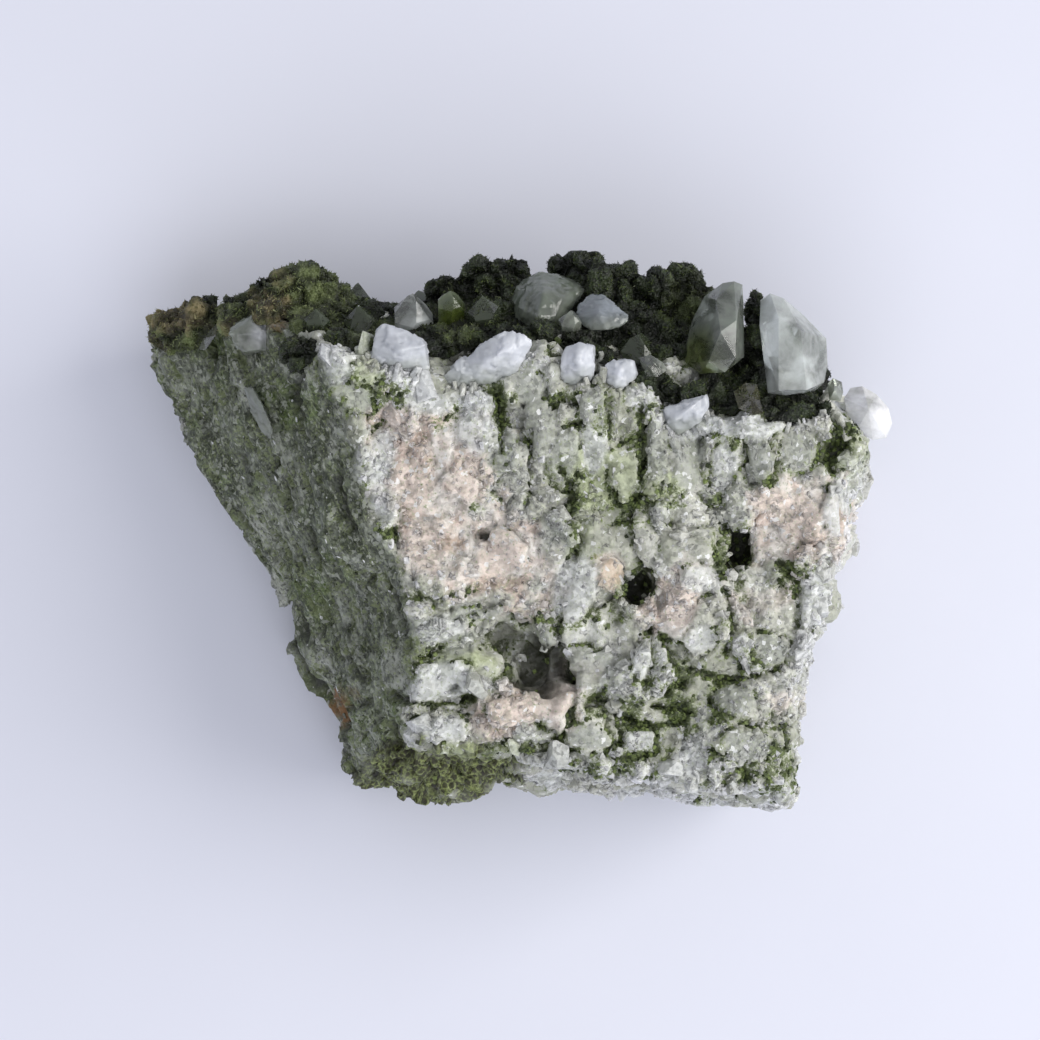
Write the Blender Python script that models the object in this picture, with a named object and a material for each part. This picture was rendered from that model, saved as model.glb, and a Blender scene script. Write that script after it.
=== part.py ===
# Epidote cluster: a hand-sized piece broken out of a mineral vein.
# It lies on one break, so that the opposite break, the pale sugary face, looks up (+Z).
# The far side (+Y) is the old wall of the cavity: a dark green crust of epidote with
# clear and milky quartz points that stand out of it. The left side (-X) is a steep green
# flank. Lengths below are in millimetres, and MM turns them to metres.

import math
import random

import bmesh
import bpy
from mathutils import Euler, Matrix, Vector, noise
from mathutils.bvhtree import BVHTree
from mathutils.geometry import intersect_line_line_2d

MM = 0.001
GAP = 0.3  # clearance between solids that touch
CUT_GAP = 1.8 * GAP  # clearance that is cut, as thinning the mesh afterwards takes some of it up
SEED = 11
POINT_SEED = 100
WALL_SEED = 300

# The rock is lofted through four outlines, one above the other. Each is star-shaped
# about CORE, and runs anticlockwise from the near left corner.
CORE = Vector((2.0, -4.0))
FOOT_HEIGHT = -0.7
WAIST_HEIGHT = 13.0
BROW_HEIGHT = 28.0
RIM_HEIGHT = 43.5
DIRECTIONS = 120  # points to each loop of the loft
REACH = 200.0  # further from CORE than any outline

FOOT = [(-22, -30), (-14, -36), (8, -35), (34, -38), (37, -24), (40, -8), (45, 4), (43, 14), (33, 19),
        (16, 22), (-6, 23), (-28, 24), (-42, 24), (-43, 17), (-37, 4), (-29, -10)]
WAIST = [(-22.5, -35.5), (-17, -40), (-11.5, -40.5), (-5.5, -38), (1.5, -37), (11.5, -37.5), (18.5, -38.5),
         (28.5, -39.5), (38.5, -40.5), (40, -27.5), (43.5, -13), (48, 3), (50, 8), (47, 14), (42, 19.5),
         (35, 22), (25, 24), (14, 25.5), (2, 26.5), (-9, 26), (-20, 25.5), (-29, 26), (-38, 27.5),
         (-46, 28), (-53, 28.5), (-54.5, 26), (-54, 23), (-50.5, 16.5), (-44.5, 6.5), (-38, -5.5),
         (-31.5, -13.5), (-27.5, -24)]
BROW = [(-19, -33), (-16.5, -36.5), (-10.5, -37), (-3, -34.5), (3, -35), (11.5, -36), (19.5, -37), (27.5, -38),
        (37, -39), (38, -32), (39, -25), (42, -12), (45.5, 3.5), (49, 10), (45.5, 16), (36, 22), (25, 26),
        (14, 29.5), (2, 31), (-8, 30), (-18, 28.5), (-27, 29), (-36, 29.5), (-41.5, 29), (-39, 19),
        (-35.5, 9), (-32.5, 0), (-23.5, -13.5), (-22.5, -26.5)]
RIM = [(-15.5, -30), (-9.5, -30), (-2, -30.5), (4.5, -33), (12, -34), (19.5, -35), (26.5, -36), (35, -37),
       (36.5, -30.5), (37, -24.5), (38.5, -18), (40, -10.5), (41.5, -3.5), (43.5, 4), (46, 9.5), (41.5, 14),
       (34.5, 13.5), (27.5, 13.5), (19.5, 15), (12, 19), (3.5, 21), (-6.5, 20), (-16, 21), (-23.5, 22),
       (-27.5, 22), (-24, 16.5), (-22.5, 12), (-21, 4.5), (-18, -2.5), (-15, -10.5), (-13.5, -17.5),
       (-15.5, -24)]

# Hollows in the upper break: centre x, y, radius and depth.
CAVITIES = [(-1.5, -17.0, 4.6, 4.5), (4.0, -20.5, 3.6, 4.0), (28.5, -3.0, 2.6, 5.0), (16.0, -9.0, 1.9, 3.4),
            (13.8, -7.2, 1.3, 2.6), (-4.6, -2.4, 0.9, 2.0), (26.0, 1.6, 2.0, 2.2), (8.5, -16.0, 2.2, 1.8),
            (19.0, -24.5, 2.6, 1.8), (-9.0, -34.5, 3.2, 2.6), (-14.0, -36.0, 2.4, 2.4)]

# Ledges that stand out of the rock: centre, half sizes and turn about Z in degrees.
LEDGES = [((-28.0, -20.0, 6.5), (3.6, 11.5, 4.6), 22), ((-21.5, -33.0, 8.0), (3.4, 6.0, 4.0), 20),
          ((37.5, -38.0, 20.0), (2.0, 2.0, 6.0), 10)]

# Epidote knobs along the skyline of the crust, as the eye finds them: x, y, z and radius.
KNOBS = [(-50, 27, 15, 3.2), (-45, 28.5, 19, 3.4), (-39.5, 29, 25, 2.8), (-34, 31, 26, 3.6), (-30, 32, 26, 4.0),
         (-26.5, 31, 25, 3.4), (-23, 28, 27, 2.6), (-10.5, 32, 29, 2.6), (-5, 33.5, 29, 3.2), (-1, 34, 28, 3.0),
         (7.8, 35.0, 30, 2.6), (10.0, 33, 32, 3.0), (14.5, 33, 30, 3.0), (18.8, 32.5, 28, 2.7),
         (22.5, 33, 27, 2.9), (24.5, 30, 29, 2.6), (-12, 24, 37, 2.4), (-8, 22.6, 38.5, 2.4),
         (-4, 23, 38.5, 2.2), (0.5, 24, 38, 2.2), (12.5, 27.5, 35.5, 2.6), (16.5, 27, 33, 2.6),
         (19.5, 18.5, 36.5, 2.2), (31.8, 24.5, 33, 2.0), (31.8, 20, 35.5, 1.8)]


# Quartz points: name, foot of the axis, direction of the axis, radius, length, spin in degrees.
POINTS = [("clear_point_glint", (-14.9, 23.0, 30.0), (0.03, 0.86, 0.50), 2.9, 9.6, 5),
          ("dark_point_left", (-21.4, 23.5, 29.5), (-0.08, 0.76, 0.65), 2.4, 8.0, 25),
          ("green_point", (-9.3, 22.5, 31.6), (-0.02, 0.86, 0.50), 2.0, 10.6, 0),
          ("dark_point_middle", (-4.7, 24.0, 32.5), (-0.05, 0.72, 0.69), 2.3, 9.6, 35),
          ("green_point_behind", (15.6, 20.0, 33.6), (0.06, 0.72, 0.69), 2.5, 7.6, 10),
          ("clear_point_rim", (6.7, 24.9, 37.3), (0.0, 0.7, 0.7), 1.5, 4.8, 18),
          ("dark_point_small", (-27.6, 23.5, 34.5), (0.0, 0.76, 0.65), 1.7, 7.0, 30),
          ("spur_point", (-32.8, 25.0, 26.4), (-0.75, 0.05, 0.66), 2.9, 10.0, 15)]

# The large points and the broken quartz, each as the corners of a convex block.
BLOCKS = [
    ("clear_point_right", [
        (33.7, 30.6, 37.5), (35.5, 29.9, 38.0), (34.6, 27.1, 41.0), (37.5, 25.4, 41.2), (32.5, 29.8, 36.0),
        (32.2, 26.1, 38.5), (32.7, 22.9, 39.2), (33.2, 17.2, 39.8), (38.3, 27.7, 36.5), (41.4, 24.6, 36.0),
        (41.5, 21.2, 37.0), (41.0, 18.6, 37.5), (34.5, 17.4, 42.2), (38.3, 17.4, 41.6), (33.7, 16.3, 35.0),
        (36.8, 15.9, 35.0), (39.4, 16.9, 34.0), (33.4, 28.6, 33.0), (38.3, 27.3, 31.5), (41.3, 23.9, 31.5),
        (41.0, 19.1, 31.5), (34.4, 17.1, 32.0)]),
    ("clear_point_left", [
        (27.4, 32.1, 36.0), (28.9, 32.3, 36.5), (30.1, 31.9, 35.5), (30.2, 29.4, 36.0), (30.2, 22.0, 37.5),
        (28.8, 21.7, 40.8), (29.0, 26.8, 40.2), (26.4, 29.6, 38.5), (26.8, 25.2, 41.2), (25.2, 21.2, 41.0),
        (27.4, 19.8, 40.6), (25.0, 30.4, 34.5), (23.6, 27.7, 34.5), (22.8, 25.5, 35.0), (22.2, 21.4, 36.0),
        (24.3, 19.7, 38.0), (26.0, 30.8, 31.0), (29.8, 31.2, 31.0), (30.1, 22.6, 31.0), (23.3, 24.6, 31.0),
        (23.5, 20.8, 31.0)]),
    ("grey_point_back", [
        (0.5, 33.1, 31.0), (2.6, 34.0, 31.5), (5.5, 33.6, 32.0), (9.1, 32.1, 32.5), (9.0, 31.5, 33.0),
        (6.9, 28.3, 34.5), (5.2, 26.4, 35.5), (4.1, 24.4, 35.5), (1.5, 24.9, 35.5), (-1.0, 27.5, 33.5),
        (-1.4, 30.0, 32.5), (-0.8, 31.7, 32.0), (3.1, 30.8, 37.0), (5.7, 30.2, 36.5), (2.4, 27.2, 38.8),
        (4.7, 27.2, 37.8), (0.7, 32.4, 27.0), (8.3, 32.0, 28.0), (6.9, 28.9, 28.0), (0.3, 27.8, 28.0),
        (3.8, 25.4, 29.0)]),
    ("milky_block_left", [
        (-18.1, 26.2, 43.5), (-19.3, 25.4, 43.5), (-19.7, 23.0, 44.5), (-15.9, 22.5, 46.0),
        (-12.4, 23.3, 44.6), (-12.8, 24.2, 43.6), (-15.3, 25.4, 43.6), (-12.0, 20.4, 42.5),
        (-12.8, 18.7, 41.5), (-18.0, 19.0, 42.0), (-20.1, 20.7, 42.0), (-18.9, 25.9, 38.5),
        (-19.7, 20.2, 38.0), (-12.9, 19.4, 38.0), (-12.7, 23.6, 38.5)]),
    ("milky_plate_middle", [
        (-8.7, 20.8, 43.0), (-5.3, 22.8, 44.0), (-4.1, 24.3, 44.2), (-2.1, 24.7, 44.6), (-1.1, 25.5, 44.3),
        (0.8, 24.3, 44.5), (1.7, 23.6, 44.0), (0.9, 22.0, 43.8), (-0.5, 19.9, 43.0), (-3.7, 18.3, 42.4),
        (-6.7, 17.4, 42.0), (-9.4, 17.7, 41.8), (-10.6, 19.4, 42.0), (-2.0, 22.5, 45.8), (-5.3, 20.5, 44.8),
        (-9.4, 18.8, 39.0), (-4.0, 18.8, 39.0), (0.7, 22.8, 39.5), (-4.0, 23.9, 39.5)]),
    ("milky_block_middle", [
        (5.5, 22.1, 44.0), (6.1, 23.3, 44.0), (7.8, 23.8, 44.2), (9.9, 23.3, 43.8), (10.0, 20.4, 44.0),
        (9.6, 18.4, 43.0), (7.2, 17.2, 42.3), (5.3, 18.8, 43.0), (5.1, 20.4, 43.8), (7.6, 21.7, 45.8),
        (8.2, 19.7, 45.0), (5.7, 22.6, 39.0), (9.7, 22.9, 39.0), (9.4, 18.8, 39.0), (5.8, 19.1, 39.0)]),
    ("milky_block_small", [
        (10.9, 20.4, 43.5), (12.6, 21.3, 44.0), (14.0, 21.7, 44.0), (15.2, 21.2, 43.6), (15.7, 19.6, 43.2),
        (14.8, 18.1, 42.8), (13.0, 16.7, 42.0), (11.2, 17.2, 42.0), (10.9, 18.8, 42.8), (13.3, 19.9, 45.3),
        (12.6, 18.3, 44.5), (11.4, 20.6, 39.0), (15.2, 21.0, 39.0), (14.8, 18.6, 39.0), (11.6, 17.8, 39.0)]),
    ("milky_plate_right", [
        (18.3, 15.0, 42.5), (21.8, 15.7, 43.8), (24.9, 16.9, 43.6), (25.3, 15.2, 43.4), (24.0, 12.9, 43.0),
        (21.0, 11.0, 42.0), (18.7, 12.7, 42.0), (22.6, 14.9, 45.2), (20.7, 13.3, 44.5), (18.8, 14.5, 39.0),
        (24.9, 16.4, 39.0), (24.2, 13.5, 39.0), (20.9, 11.6, 39.0)]),
    ("grey_flake", [
        (7.7, 29.3, 36.0), (9.4, 30.6, 35.5), (11.1, 30.7, 35.5), (11.9, 29.3, 37.0), (13.2, 28.9, 37.0),
        (14.7, 27.6, 38.2), (14.4, 26.5, 38.6), (11.8, 25.4, 39.0), (9.3, 25.5, 38.5), (8.5, 26.0, 38.2),
        (7.4, 27.4, 37.5), (10.7, 27.5, 39.6), (9.5, 30.0, 33.5), (13.6, 27.7, 35.5), (11.5, 26.0, 36.0),
        (8.4, 27.1, 35.0)]),
    ("clear_flake_right", [
        (45.2, 18.1, 31.0), (46.7, 18.3, 32.0), (48.6, 17.2, 32.0), (50.4, 15.3, 31.0), (51.0, 13.2, 30.0),
        (50.3, 11.3, 29.0), (48.4, 11.0, 29.0), (46.1, 12.3, 30.0), (44.6, 14.8, 31.0), (44.3, 16.7, 31.0),
        (47.4, 15.0, 33.6), (45.7, 17.2, 28.0), (49.6, 16.3, 28.0), (50.0, 11.9, 27.0), (46.4, 13.1, 27.0)]),
    ("smoky_block", [
        (28.5, 17.1, 42.0), (30.1, 18.4, 41.0), (31.7, 18.1, 41.5), (32.0, 16.0, 42.5), (32.4, 14.2, 42.5),
        (30.9, 14.0, 43.0), (29.1, 14.9, 43.0), (30.6, 16.2, 43.8), (29.5, 17.8, 37.0), (31.9, 17.8, 37.0),
        (32.0, 14.6, 38.0), (29.9, 14.8, 38.0)]),
    ("clear_shard", [
        (15.8, 21.7, 41.5), (17.4, 22.1, 42.0), (19.0, 21.1, 42.0), (19.7, 20.1, 41.5), (18.2, 19.1, 42.5),
        (16.8, 19.2, 42.5), (17.0, 20.5, 43.6), (16.4, 21.6, 38.5), (19.3, 20.7, 38.5), (17.5, 19.6, 39.0)]),
    ("grey_block_right", [
        (41.5, 18.4, 36.5), (42.3, 19.2, 36.5), (43.5, 18.7, 36.0), (43.7, 17.3, 36.0), (43.3, 16.1, 36.5),
        (41.7, 16.2, 37.5), (42.3, 17.5, 38.6), (42.1, 18.5, 33.5), (43.6, 18.4, 33.0), (43.3, 16.6, 33.5),
        (42.0, 16.9, 34.0)]),
    ("spur_blade", [
        (-41.8, 27.5, 24.0), (-42.2, 25.6, 25.4), (-43.7, 23.6, 24.8), (-44.9, 23.7, 22.5),
        (-44.1, 25.3, 23.0), (-42.7, 27.0, 23.0), (-42.6, 27.3, 18.0), (-44.5, 24.3, 18.0),
        (-43.5, 26.8, 17.5)]),
    ("flank_blade", [
        (-37.9, 18.0, 31.5), (-36.6, 18.3, 32.6), (-35.1, 15.7, 33.2), (-33.7, 12.3, 32.2),
        (-34.1, 10.8, 30.6), (-35.4, 12.1, 30.2), (-37.0, 15.1, 30.4), (-37.8, 17.7, 26.0),
        (-34.9, 12.2, 26.0), (-36.5, 14.9, 26.0), (-35.6, 16.3, 27.5)])
]

# Quartz points of the wall under the skyline, which a rule sets out.
WALL_COLUMNS = (-38.0, -27.5, -17.0, -7.5, 2.5, 12.5, 22.5, 33.0)
WALL_ROWS = (9.0, 18.5)
WALL_LIMIT = 34.0  # no point of the wall reaches further out than this
WALL_SHIFT = 4.5  # the upper row stands this far along from the lower
WALL_RADII = (1.7, 3.4)
WALL_STAND = (1.9, 2.5)  # how far a point stands out of the crust, in its radii
WALL_SUNK = 1.5  # how deep its foot lies in the rock
CRUST_DEPTH = 2.6
SHORTEST = 2.4  # a point shorter than this many radii is left out
CLEARANCE = 0.8  # least space between two quartz points

SAME_WAY = 0.9986  # two normals this near to parallel, and
SAME_PLANE = 0.06  # distances this near, belong to one face

RHOMB_ANGLE = math.radians(51.8)  # between a rhombohedral face's normal and the crystal's axis
ROCK_VOXEL = 1.2
CRUST_VOXEL = 1.0
ROCK_TRIANGLES = (3500, 4300)  # before the sockets are cut, and after
CRUST_TRIANGLES = (2450, 2850)

STREAK = Vector((0.45, -0.88, -0.10)).normalized()  # the grain of the flank
RIDGE_POINT = Vector((-20.0, 0.0))  # the ridge between the flank and the upper break
RIDGE_LEFT = Vector((-0.97, -0.24))

# Relief of the breaks: how wide each kind of feature is, and how far it stands out.
SWELL_WIDTH, SWELL_HEIGHT = 13.0, 1.1
STEP_WIDTH, STEP_HEIGHT, TREAD_HEIGHT = 6.5, 1.2, 0.25
TREADS = 4  # flat treads in a step
CHIP_WIDTH, CHIP_HEIGHT = 3.6, 1.2
DRAWN_OUT = 0.68  # how much longer the features of the flank are along its grain
KNOB_WIDTH, KNOB_HEIGHT = 2.3, 0.9
LUMP_WIDTH, LUMP_HEIGHT = 4.0, 0.5

# Knobs of the crust below the skyline: rows and columns, their spacing and their radii.
CRUST_X = (-48, 42, 4.6)
CRUST_Z = (5, 41, 4.3)
CRUST_RADII = (2.9, 4.0)

PALE = (0.62, 0.66, 0.60)
EPIDOTE = (0.045, 0.07, 0.03)
CLEAR = (0.80, 0.85, 0.84)
MILKY = (0.82, 0.85, 0.86)
SMOKY = (0.16, 0.18, 0.12)
SEEN_THROUGH = 0.8  # how much light a clear crystal lets through


def through(bm, kind, **settings):
    """The mesh after one modifier of this kind."""
    mesh = bpy.data.meshes.new("work")
    bm.to_mesh(mesh)
    bm.free()
    work = bpy.data.objects.new("work", mesh)
    bpy.context.scene.collection.objects.link(work)
    modifier = work.modifiers.new(kind, kind)
    for setting, value in settings.items():
        setattr(modifier, setting, value)
    bpy.context.view_layer.update()
    made = bmesh.new()
    made.from_object(work, bpy.context.evaluated_depsgraph_get())
    bpy.data.objects.remove(work)
    return made


def less(bm, cutters):
    """The mesh with every cutter taken out of it by an exact Boolean. The cutters stay usable."""
    tools = bpy.data.collections.new("cutters")
    for cutter in cutters:
        mesh = bpy.data.meshes.new("cutter")
        cutter.to_mesh(mesh)
        tools.objects.link(bpy.data.objects.new("cutter", mesh))
    cut = through(bm, "BOOLEAN", operation="DIFFERENCE", operand_type="COLLECTION", collection=tools,
                  solver="EXACT")
    for helper in list(tools.objects):
        bpy.data.objects.remove(helper)
    bpy.data.collections.remove(tools)
    bmesh.ops.remove_doubles(cut, verts=cut.verts, dist=0.002)
    bmesh.ops.triangulate(cut, faces=cut.faces[:])
    return cut


def keep_largest(bm):
    """Drops the loose chips that a cut leaves beside the main body."""
    left = set(bm.verts)
    bodies = []
    while left:
        front = [left.pop()]
        body = list(front)
        while front:
            for edge in front.pop().link_edges:
                for vertex in edge.verts:
                    if vertex in left:
                        left.discard(vertex)
                        body.append(vertex)
                        front.append(vertex)
        bodies.append(body)
    bodies.sort(key=len)
    for body in bodies[:-1]:
        bmesh.ops.delete(bm, geom=body, context="VERTS")
    return bm


def thinned(bm, count):
    """The mesh thinned to about this many triangles, the flat stretches first."""
    bmesh.ops.triangulate(bm, faces=bm.faces[:])
    return through(bm, "DECIMATE", ratio=count / len(bm.faces))


def roughened(bm, relief):
    """Moves each point along its normal by relief(point, normal)."""
    bm.normal_update()
    moves = [vertex.normal * relief(vertex.co, vertex.normal) for vertex in bm.verts]
    for vertex, move in zip(bm.verts, moves):
        vertex.co += move


def point_on(outline, angle):
    """The point of the outline that lies in this direction from CORE."""
    far = CORE + Vector((math.cos(angle), math.sin(angle))) * REACH
    corners = [Vector(corner) for corner in outline]
    hits = [intersect_line_line_2d(CORE, far, a, b) for a, b in zip(corners, corners[1:] + corners[:1])]
    return max((hit for hit in hits if hit), key=lambda hit: (hit - CORE).length)


def lofted_body():
    """The bare body: one loop of edges for each outline, bridged, and closed below and above."""
    bm = bmesh.new()
    loops = []
    heights = ((FOOT, FOOT_HEIGHT), (WAIST, WAIST_HEIGHT), (BROW, BROW_HEIGHT), (RIM, RIM_HEIGHT))
    for outline, height in heights:
        angles = [math.tau * i / DIRECTIONS for i in range(DIRECTIONS)]
        ring = [bm.verts.new((*point_on(outline, angle), height)) for angle in angles]
        loops.append([bm.edges.new(pair) for pair in zip(ring, ring[1:] + ring[:1])])
    for lower, upper in zip(loops, loops[1:]):
        bmesh.ops.bridge_loops(bm, edges=lower + upper)
    for loop in (loops[0], loops[-1]):
        bmesh.ops.contextual_create(bm, geom=loop)
    for centre, halves, turn in LEDGES:
        place = Matrix.LocRotScale(Vector(centre), Euler((0, 0, math.radians(turn))), Vector(halves))
        bmesh.ops.create_icosphere(bm, subdivisions=3, radius=1.0, matrix=place)
    bmesh.ops.recalc_face_normals(bm, faces=bm.faces[:])
    return bm


def on_flank(point):
    """True left of the ridge, on the steep green side."""
    return (point.xy - RIDGE_POINT).dot(RIDGE_LEFT) > 0


def rock_relief(point, normal):
    """The rough break: broad swells, broken steps and chipped cells, drawn out along the grain of the flank."""
    grain = point.copy()
    if on_flank(point) and normal.z > -0.2:
        grain -= STREAK * (DRAWN_OUT * grain.dot(STREAK))
    swell = SWELL_HEIGHT * noise.noise(point / SWELL_WIDTH)
    wave = noise.noise(grain / STEP_WIDTH + Vector((31, 7, 3)))
    steps = STEP_HEIGHT * wave + TREAD_HEIGHT * math.floor(wave * TREADS)
    near, next_nearest = noise.voronoi(grain / CHIP_WIDTH)[0][:2]
    return swell + steps + CHIP_HEIGHT * (next_nearest - near) - 0.4


def sink_cavities(bm):
    """Presses the hollows into the upper break, with ragged rims."""
    for vertex in bm.verts:
        if vertex.co.z < RIM_HEIGHT - 9 or vertex.normal.z < 0.15:
            continue
        for x, y, radius, depth in CAVITIES:
            ragged = radius * (1 + 0.35 * noise.noise(vertex.co / 1.7 + Vector((x, y, 0))))
            away = math.hypot(vertex.co.x - x, vertex.co.y - y) / ragged
            if away < 1:
                vertex.co.z -= depth * math.sqrt(1 - away * away)


def level_base(bm):
    """Cuts the lower break flat where it rests. Shallow recesses stay between the level pads."""
    everything = bm.verts[:] + bm.edges[:] + bm.faces[:]
    cut = bmesh.ops.bisect_plane(bm, geom=everything, plane_co=(0, 0, 0), plane_no=(0, 0, -1), clear_outer=True)
    rim = [part for part in cut["geom_cut"] if isinstance(part, bmesh.types.BMEdge)]
    bmesh.ops.triangle_fill(bm, edges=rim, use_beauty=True)
    bmesh.ops.recalc_face_normals(bm, faces=bm.faces[:])


def vein_rock():
    bm = through(lofted_body(), "REMESH", mode="VOXEL", voxel_size=ROCK_VOXEL)
    roughened(bm, rock_relief)
    sink_cavities(bm)
    return keep_largest(thinned(bm, ROCK_TRIANGLES[0]))


def grown(bm, distance):
    """A copy of the mesh with each point moved outwards."""
    copy = bm.copy()
    roughened(copy, lambda point, normal: distance)
    return copy


def steps_between(first, last, step):
    return [first + step * i for i in range(int((last - first) / step) + 1)]


def wall_hit(rock, x, z):
    """Where a ray from the open side meets the wall of the old cavity, and the wall's normal there."""
    hit, normal, _, _ = rock.ray_cast(Vector((x, 80, z)), Vector((0, -1, 0)))
    return (hit, normal) if hit else None


def crust_relief(point, normal):
    near, next_nearest = noise.voronoi(point / KNOB_WIDTH)[0][:2]
    return KNOB_HEIGHT * (next_nearest - near) + LUMP_HEIGHT * noise.noise(point / LUMP_WIDTH) - 0.3


def epidote_crust(rock):
    """Knobs that run together over the wall, like the head of a cauliflower."""
    dice = random.Random(SEED)
    surface = BVHTree.FromBMesh(rock)
    bm = bmesh.new()
    for x in steps_between(*CRUST_X):
        for z in steps_between(*CRUST_Z):
            found = wall_hit(surface, x + dice.uniform(-1, 1), z + dice.uniform(-1, 1))
            radius = dice.uniform(*CRUST_RADII)
            if found and found[1].y > 0.2:
                place = Matrix.Translation(found[0] - found[1] * 0.8)
                bmesh.ops.create_icosphere(bm, subdivisions=2, radius=radius, matrix=place)
    for x, y, z, radius in KNOBS:
        bmesh.ops.create_icosphere(bm, subdivisions=2, radius=radius, matrix=Matrix.Translation((x, y, z)))
    bm = through(bm, "REMESH", mode="VOXEL", voxel_size=CRUST_VOXEL)
    roughened(bm, crust_relief)
    return thinned(bm, CRUST_TRIANGLES[0])


def faceted(planes, place, growth=0.0):
    """The block that these planes leave of a large cube. A plane is a normal and a distance from the middle."""
    bm = bmesh.new()
    bmesh.ops.create_cube(bm, size=REACH)
    for normal, distance in planes:
        everything = bm.verts[:] + bm.edges[:] + bm.faces[:]
        cut = bmesh.ops.bisect_plane(bm, geom=everything, plane_co=normal * (distance + growth),
                                     plane_no=normal, clear_outer=True)
        rim = [part for part in cut["geom_cut"] if isinstance(part, bmesh.types.BMEdge)]
        if rim:
            bmesh.ops.contextual_create(bm, geom=rim)
    bmesh.ops.recalc_face_normals(bm, faces=bm.faces[:])
    bmesh.ops.transform(bm, matrix=place, verts=bm.verts[:])
    return bm


def along(foot, axis, spin):
    """The place of a crystal that stands on foot and points along axis."""
    turn = Vector(axis).to_track_quat("Z", "Y").to_matrix().to_4x4()
    return Matrix.Translation(Vector(foot)) @ turn @ Matrix.Rotation(math.radians(spin), 4, "Z")


def point_planes(radius, length, dice):
    """Six prism faces, and six rhombohedral faces that meet at the tip, three of them larger."""
    planes = [(Vector((0, 0, -1)), 0.0)]
    for i in range(6):
        side = Vector((math.cos(math.tau * i / 6), math.sin(math.tau * i / 6), 0))
        planes.append((side, radius * dice.uniform(0.82, 1.0)))
        slope = side * math.sin(RHOMB_ANGLE) + Vector((0, 0, math.cos(RHOMB_ANGLE)))
        share = dice.uniform(0.90, 0.95) if i % 2 else dice.uniform(0.96, 1.03)
        planes.append((slope, length * math.cos(RHOMB_ANGLE) * share))
    return planes


def convex_block(corners):
    """The smallest convex block that holds these corners."""
    bm = bmesh.new()
    for corner in corners:
        bm.verts.new(corner)
    bmesh.ops.convex_hull(bm, input=bm.verts[:])
    inside = [vertex for vertex in bm.verts if not vertex.link_faces]
    bmesh.ops.delete(bm, geom=inside, context="VERTS")
    bmesh.ops.recalc_face_normals(bm, faces=bm.faces[:])
    return bm


def block_planes(bm, middle):
    """The planes of a convex block, as seen from its middle."""
    bm.normal_update()
    planes = []
    for face in bm.faces:
        normal, distance = face.normal.copy(), face.normal.dot(face.verts[0].co - middle)
        if all(normal.dot(other) < SAME_WAY or abs(distance - far) > SAME_PLANE for other, far in planes):
            planes.append((normal, distance))
    return planes


def wall_points(surface, taken):
    """Quartz points that stand out of the wall, leaving out any that would meet its neighbours."""
    dice = random.Random(SEED + 1)
    found = []
    for row, z in enumerate(WALL_ROWS):
        for x in WALL_COLUMNS:
            x_here = x + WALL_SHIFT * row + dice.uniform(-1.5, 1.5)
            z_here = z + dice.uniform(-2, 2)
            radius = dice.uniform(*WALL_RADII)
            tilt = Vector((dice.uniform(-0.35, 0.35), 0, dice.uniform(-0.15, 0.45)))
            spin = dice.uniform(0, 60)
            stand = dice.uniform(*WALL_STAND) * radius
            hit = wall_hit(surface, x_here, z_here)
            if not hit:
                continue
            axis = (hit[1] * 0.5 + Vector((0, 1, 0)) + tilt).normalized()
            foot = hit[0] - axis * WALL_SUNK
            length = min(WALL_SUNK + CRUST_DEPTH + stand, (WALL_LIMIT - foot.y) / axis.y)
            if length < SHORTEST * radius or foot.z < radius + 1:
                continue
            line = (foot, foot + axis * length, radius)
            if all(apart(line, other) > CLEARANCE for other in taken):
                taken.append(line)
                found.append((f"wall_point_{len(found) + 1:02d}", foot, axis, radius, length, spin))
    return found


def apart(first, second):
    """The space between two thick lines, each given as its two ends and its radius."""
    least = REACH
    for i in range(9):
        for j in range(9):
            least = min(least, (first[0].lerp(first[1], i / 8) - second[0].lerp(second[1], j / 8)).length)
    return least - first[2] - second[2]


def grown_point(radius, length, seed, place):
    """A quartz point, and the socket that it needs."""
    planes = point_planes(radius, length, random.Random(seed))
    return faceted(planes, place), faceted(planes, place, CUT_GAP)


def quartz(rock):
    """(name, solid, socket, colour) of every quartz point and broken piece."""
    pieces = []
    taken = []
    for number, (name, foot, axis, radius, length, spin) in enumerate(POINTS):
        colour = SMOKY if "dark" in name or "green" in name else CLEAR
        pieces.append((name, *grown_point(radius, length, POINT_SEED + number, along(foot, axis, spin)), colour))
        taken.append((Vector(foot), Vector(foot) + Vector(axis).normalized() * length, radius))
    for name, corners in BLOCKS:
        solid = convex_block(corners)
        middle = sum((Vector(corner) for corner in corners), Vector()) / len(corners)
        socket = faceted(block_planes(solid, middle), Matrix.Translation(middle), CUT_GAP)
        colour = MILKY if "milky" in name else SMOKY if "smoky" in name else CLEAR
        pieces.append((name, solid, socket, colour))
        taken.append((middle, middle, max((Vector(corner) - middle).length for corner in corners)))
    standing = wall_points(BVHTree.FromBMesh(rock), taken)
    for number, (name, foot, axis, radius, length, spin) in enumerate(standing):
        pieces.append((name, *grown_point(radius, length, WALL_SEED + number, along(foot, axis, spin)), CLEAR))
    return pieces


def base_centre(meshes):
    """The middle of the box round all the meshes, on its lower face."""
    corners = [vertex.co for bm in meshes for vertex in bm.verts]
    low = [min(corner[axis] for corner in corners) for axis in range(3)]
    high = [max(corner[axis] for corner in corners) for axis in range(3)]
    return Vector(((low[0] + high[0]) / 2, (low[1] + high[1]) / 2, low[2]))


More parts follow.
